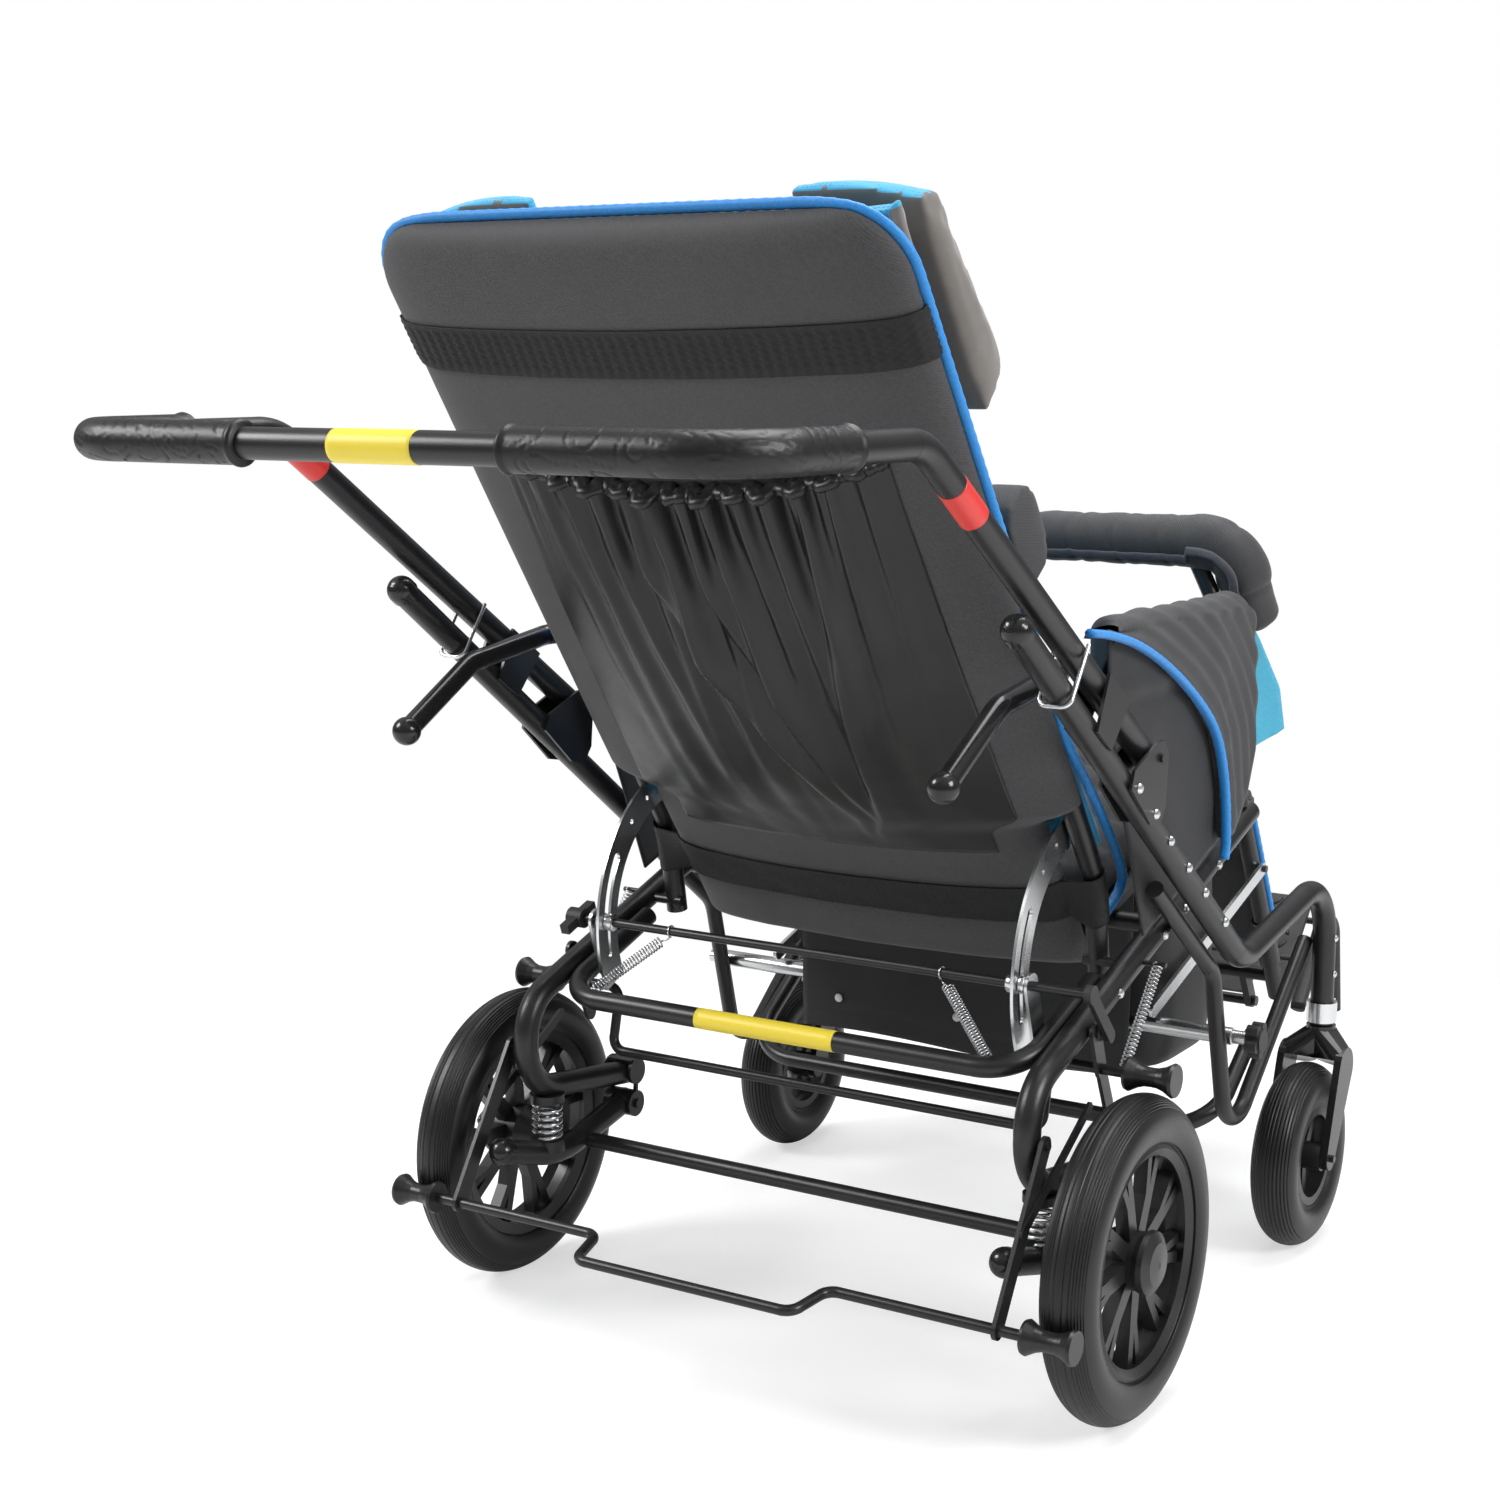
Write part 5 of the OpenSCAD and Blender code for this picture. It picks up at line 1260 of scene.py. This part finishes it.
for level, inset in zip(bag_levels, bag_inset):
    for s in range(bag_sides):
        turn = math.tau * (s + 0.5) / bag_sides
        ct, st = math.cos(turn), math.sin(turn)
        x = math.copysign(abs(ct) ** 0.28, ct) * (bag_half - inset)
        y = bag_middle + math.copysign(abs(st) ** 0.36, st) * (bag_reach - inset)
        rim = seat_height(y) - 11.5
        wave = noise.noise(Vector((x * 0.012, y * 0.02, level * 3.0)))
        bulge = 2.6 * math.sin(math.pi * level) * wave
        z = bag_low + (rim - bag_low) * level + 3.0 - 3.0 * min(1.0, inset / 60.0)
        out_by = bulge * math.copysign(1.0, st)
        bag_points.append(metres(x * (1 + bulge / 240.0), y + out_by, z))
bag_faces = ring_faces(len(bag_levels), bag_sides, capped=False)
bag_faces.append(tuple(range((len(bag_levels) - 1) * bag_sides, len(bag_levels) * bag_sides)))
bag = make_piece("seat_bag", bag_points, bag_faces, bag_nylon)
thicken(bag, 0.0014)
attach(bag, "chassis")
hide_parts("basket")

# Basket apron: the loose rear flap of the basket, a hemmed sheet of the same nylon that hangs
# from the cross tube behind the leg shaft.
apron_left, apron_right, apron_top, apron_low = -192.0, 206.0, 424.0, 214.0
apron_ahead = 321.5
apron_cols, apron_rows, hem_rows = 56, 40, (36, 37)
apron_points = []
for j in range(apron_rows + 1):
    down = j / apron_rows
    for i in range(apron_cols + 1):
        across = i / apron_cols
        x = apron_left + (apron_right - apron_left) * across + 5.0 * (0.5 - across) * down
        z = apron_top + (apron_low + 3.0 * math.sin(across * 7.0) - apron_top) * down
        fold = 1.9 * noise.noise(Vector((x * 0.011, z * 0.008, 4.0))) * min(1.0, down * 4.0)
        hem = 1.0 if j in hem_rows else 0.0
        apron_points.append(metres(x, apron_ahead + fold + hem, z))
apron = make_piece("bag_apron", apron_points, grid_faces(apron_cols, apron_rows), bag_nylon)
thicken(apron, 0.0014)
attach(apron, "chassis")

# Press studs: white nylon caps snapped through the basket's apron above its hem. Each is a
# shallow dome on the rear side of the cloth.
stud_nylon = hard_finish("stud_nylon", ((0.72, 0.72, 0.70), (0.80, 0.80, 0.78)),
                         (0.3, 0.42), 900.0, 0.05)
stud_radius, stud_rise, stud_sides = 0.0048, 0.0028, 20
stud_turns = np.linspace(0.0, math.pi / 2, 7)[:-1]
stud_points, stud_faces = [], []
for x, z in ((-143.0, 251.0), (4.5, 250.5), (150.0, 251.0)):
    base, middle = len(stud_points), metres(x, apron_ahead - 1.6, z)
    for rise in stud_turns:
        reach, lift = stud_radius * math.cos(rise), stud_rise * math.sin(rise)
        for k in range(stud_sides):
            turn = k * math.tau / stud_sides
            stud_points.append(middle + Vector((reach * math.cos(turn), -lift, reach * math.sin(turn))))
    stud_faces += [tuple(base + k for k in face) for face in ring_faces(len(stud_turns), stud_sides)]
studs = make_piece("bag_studs", stud_points, stud_faces, stud_nylon)
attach(studs, "chassis")

# Calf pad: a thin foam cushion in charcoal cloth, strapped to the legrest. Three sewn channels
# run across it and a blue binding closes its edge.
leg_lean = math.radians(29.8)
leg_way = Vector((0.0, math.sin(leg_lean), -math.cos(leg_lean)))
leg_out = Vector((0.0, math.cos(leg_lean), math.sin(leg_lean)))
leg_hinge = metres(0.0, 585.0, 470.0)
leg_middle = leg_hinge + leg_way * 0.130 + leg_out * 0.0124
calf_width, calf_length = 0.438, 0.200
calf_pad = channelled_pad("calf_pad", (calf_width, calf_length, 0.019, 0.012, 46, 24, 0.002),
                          charcoal_pad, 0.005, 0.004, 0.002, [-0.052, 0.0, 0.052], 0.006, 0.009, 0.006)
placed(calf_pad, leg_middle, Vector((-1, 0, 0)), leg_way, leg_out)
rounded_off(calf_pad)
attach(calf_pad, "legrest")
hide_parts("leg_pad")
calf_corners = ((1, -1), (1, 0), (1, 1), (0, 1), (-1, 1), (-1, 0), (-1, -1))
calf_edge = [leg_middle + Vector((s * calf_width / 2, 0, 0)) + leg_way * (t * calf_length / 2)
             + leg_out * 0.006 for s, t in calf_corners]
binding("calf_binding", calf_edge, "legrest", width=0.0042, rounds=2)

# Foot tread: raised lozenges moulded in one with the footplate's black plastic, in rows on
# its upper side. They lean to the two sides by turns; the row nearest the hinge stays plain.
foot_slope = math.radians(45.0)
foot_along = Vector((0.0, math.cos(foot_slope), math.sin(foot_slope)))
foot_face = Vector((0.0, -math.sin(foot_slope), math.cos(foot_slope)))
foot_hinge = leg_hinge + leg_way * 0.308
tread_cols, tread_sides, tread_lean = 19, 8, 0.9
tread_long, tread_wide = 0.0088, 0.0030
tread_points, tread_faces = [], []
for row in range(1, 7):
    for col in range(tread_cols):
        turned = tread_lean if (row + col) % 2 else -tread_lean
        middle = (foot_hinge + Vector(((col - tread_cols // 2) * 0.0218, 0, 0))
                  + foot_along * (0.020 + row * 0.0202) + foot_face * 0.003)
        long_way = Vector((1, 0, 0)) * math.cos(turned) + foot_along * math.sin(turned)
        wide_way = foot_face.cross(long_way)
        base = len(tread_points)
        for share, lift in ((1.0, -0.0002), (0.55, 0.0016)):
            for k in range(tread_sides):
                turn = math.tau * k / tread_sides
                reach = long_way * tread_long * math.cos(turn) + wide_way * tread_wide * math.sin(turn)
                tread_points.append(middle + reach * share + foot_face * lift)
        tread_faces += [tuple(base + k for k in face) for face in ring_faces(2, tread_sides)]
foot_tread = make_piece("foot_tread", tread_points, tread_faces, grained_black)
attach(foot_tread, "footplate")
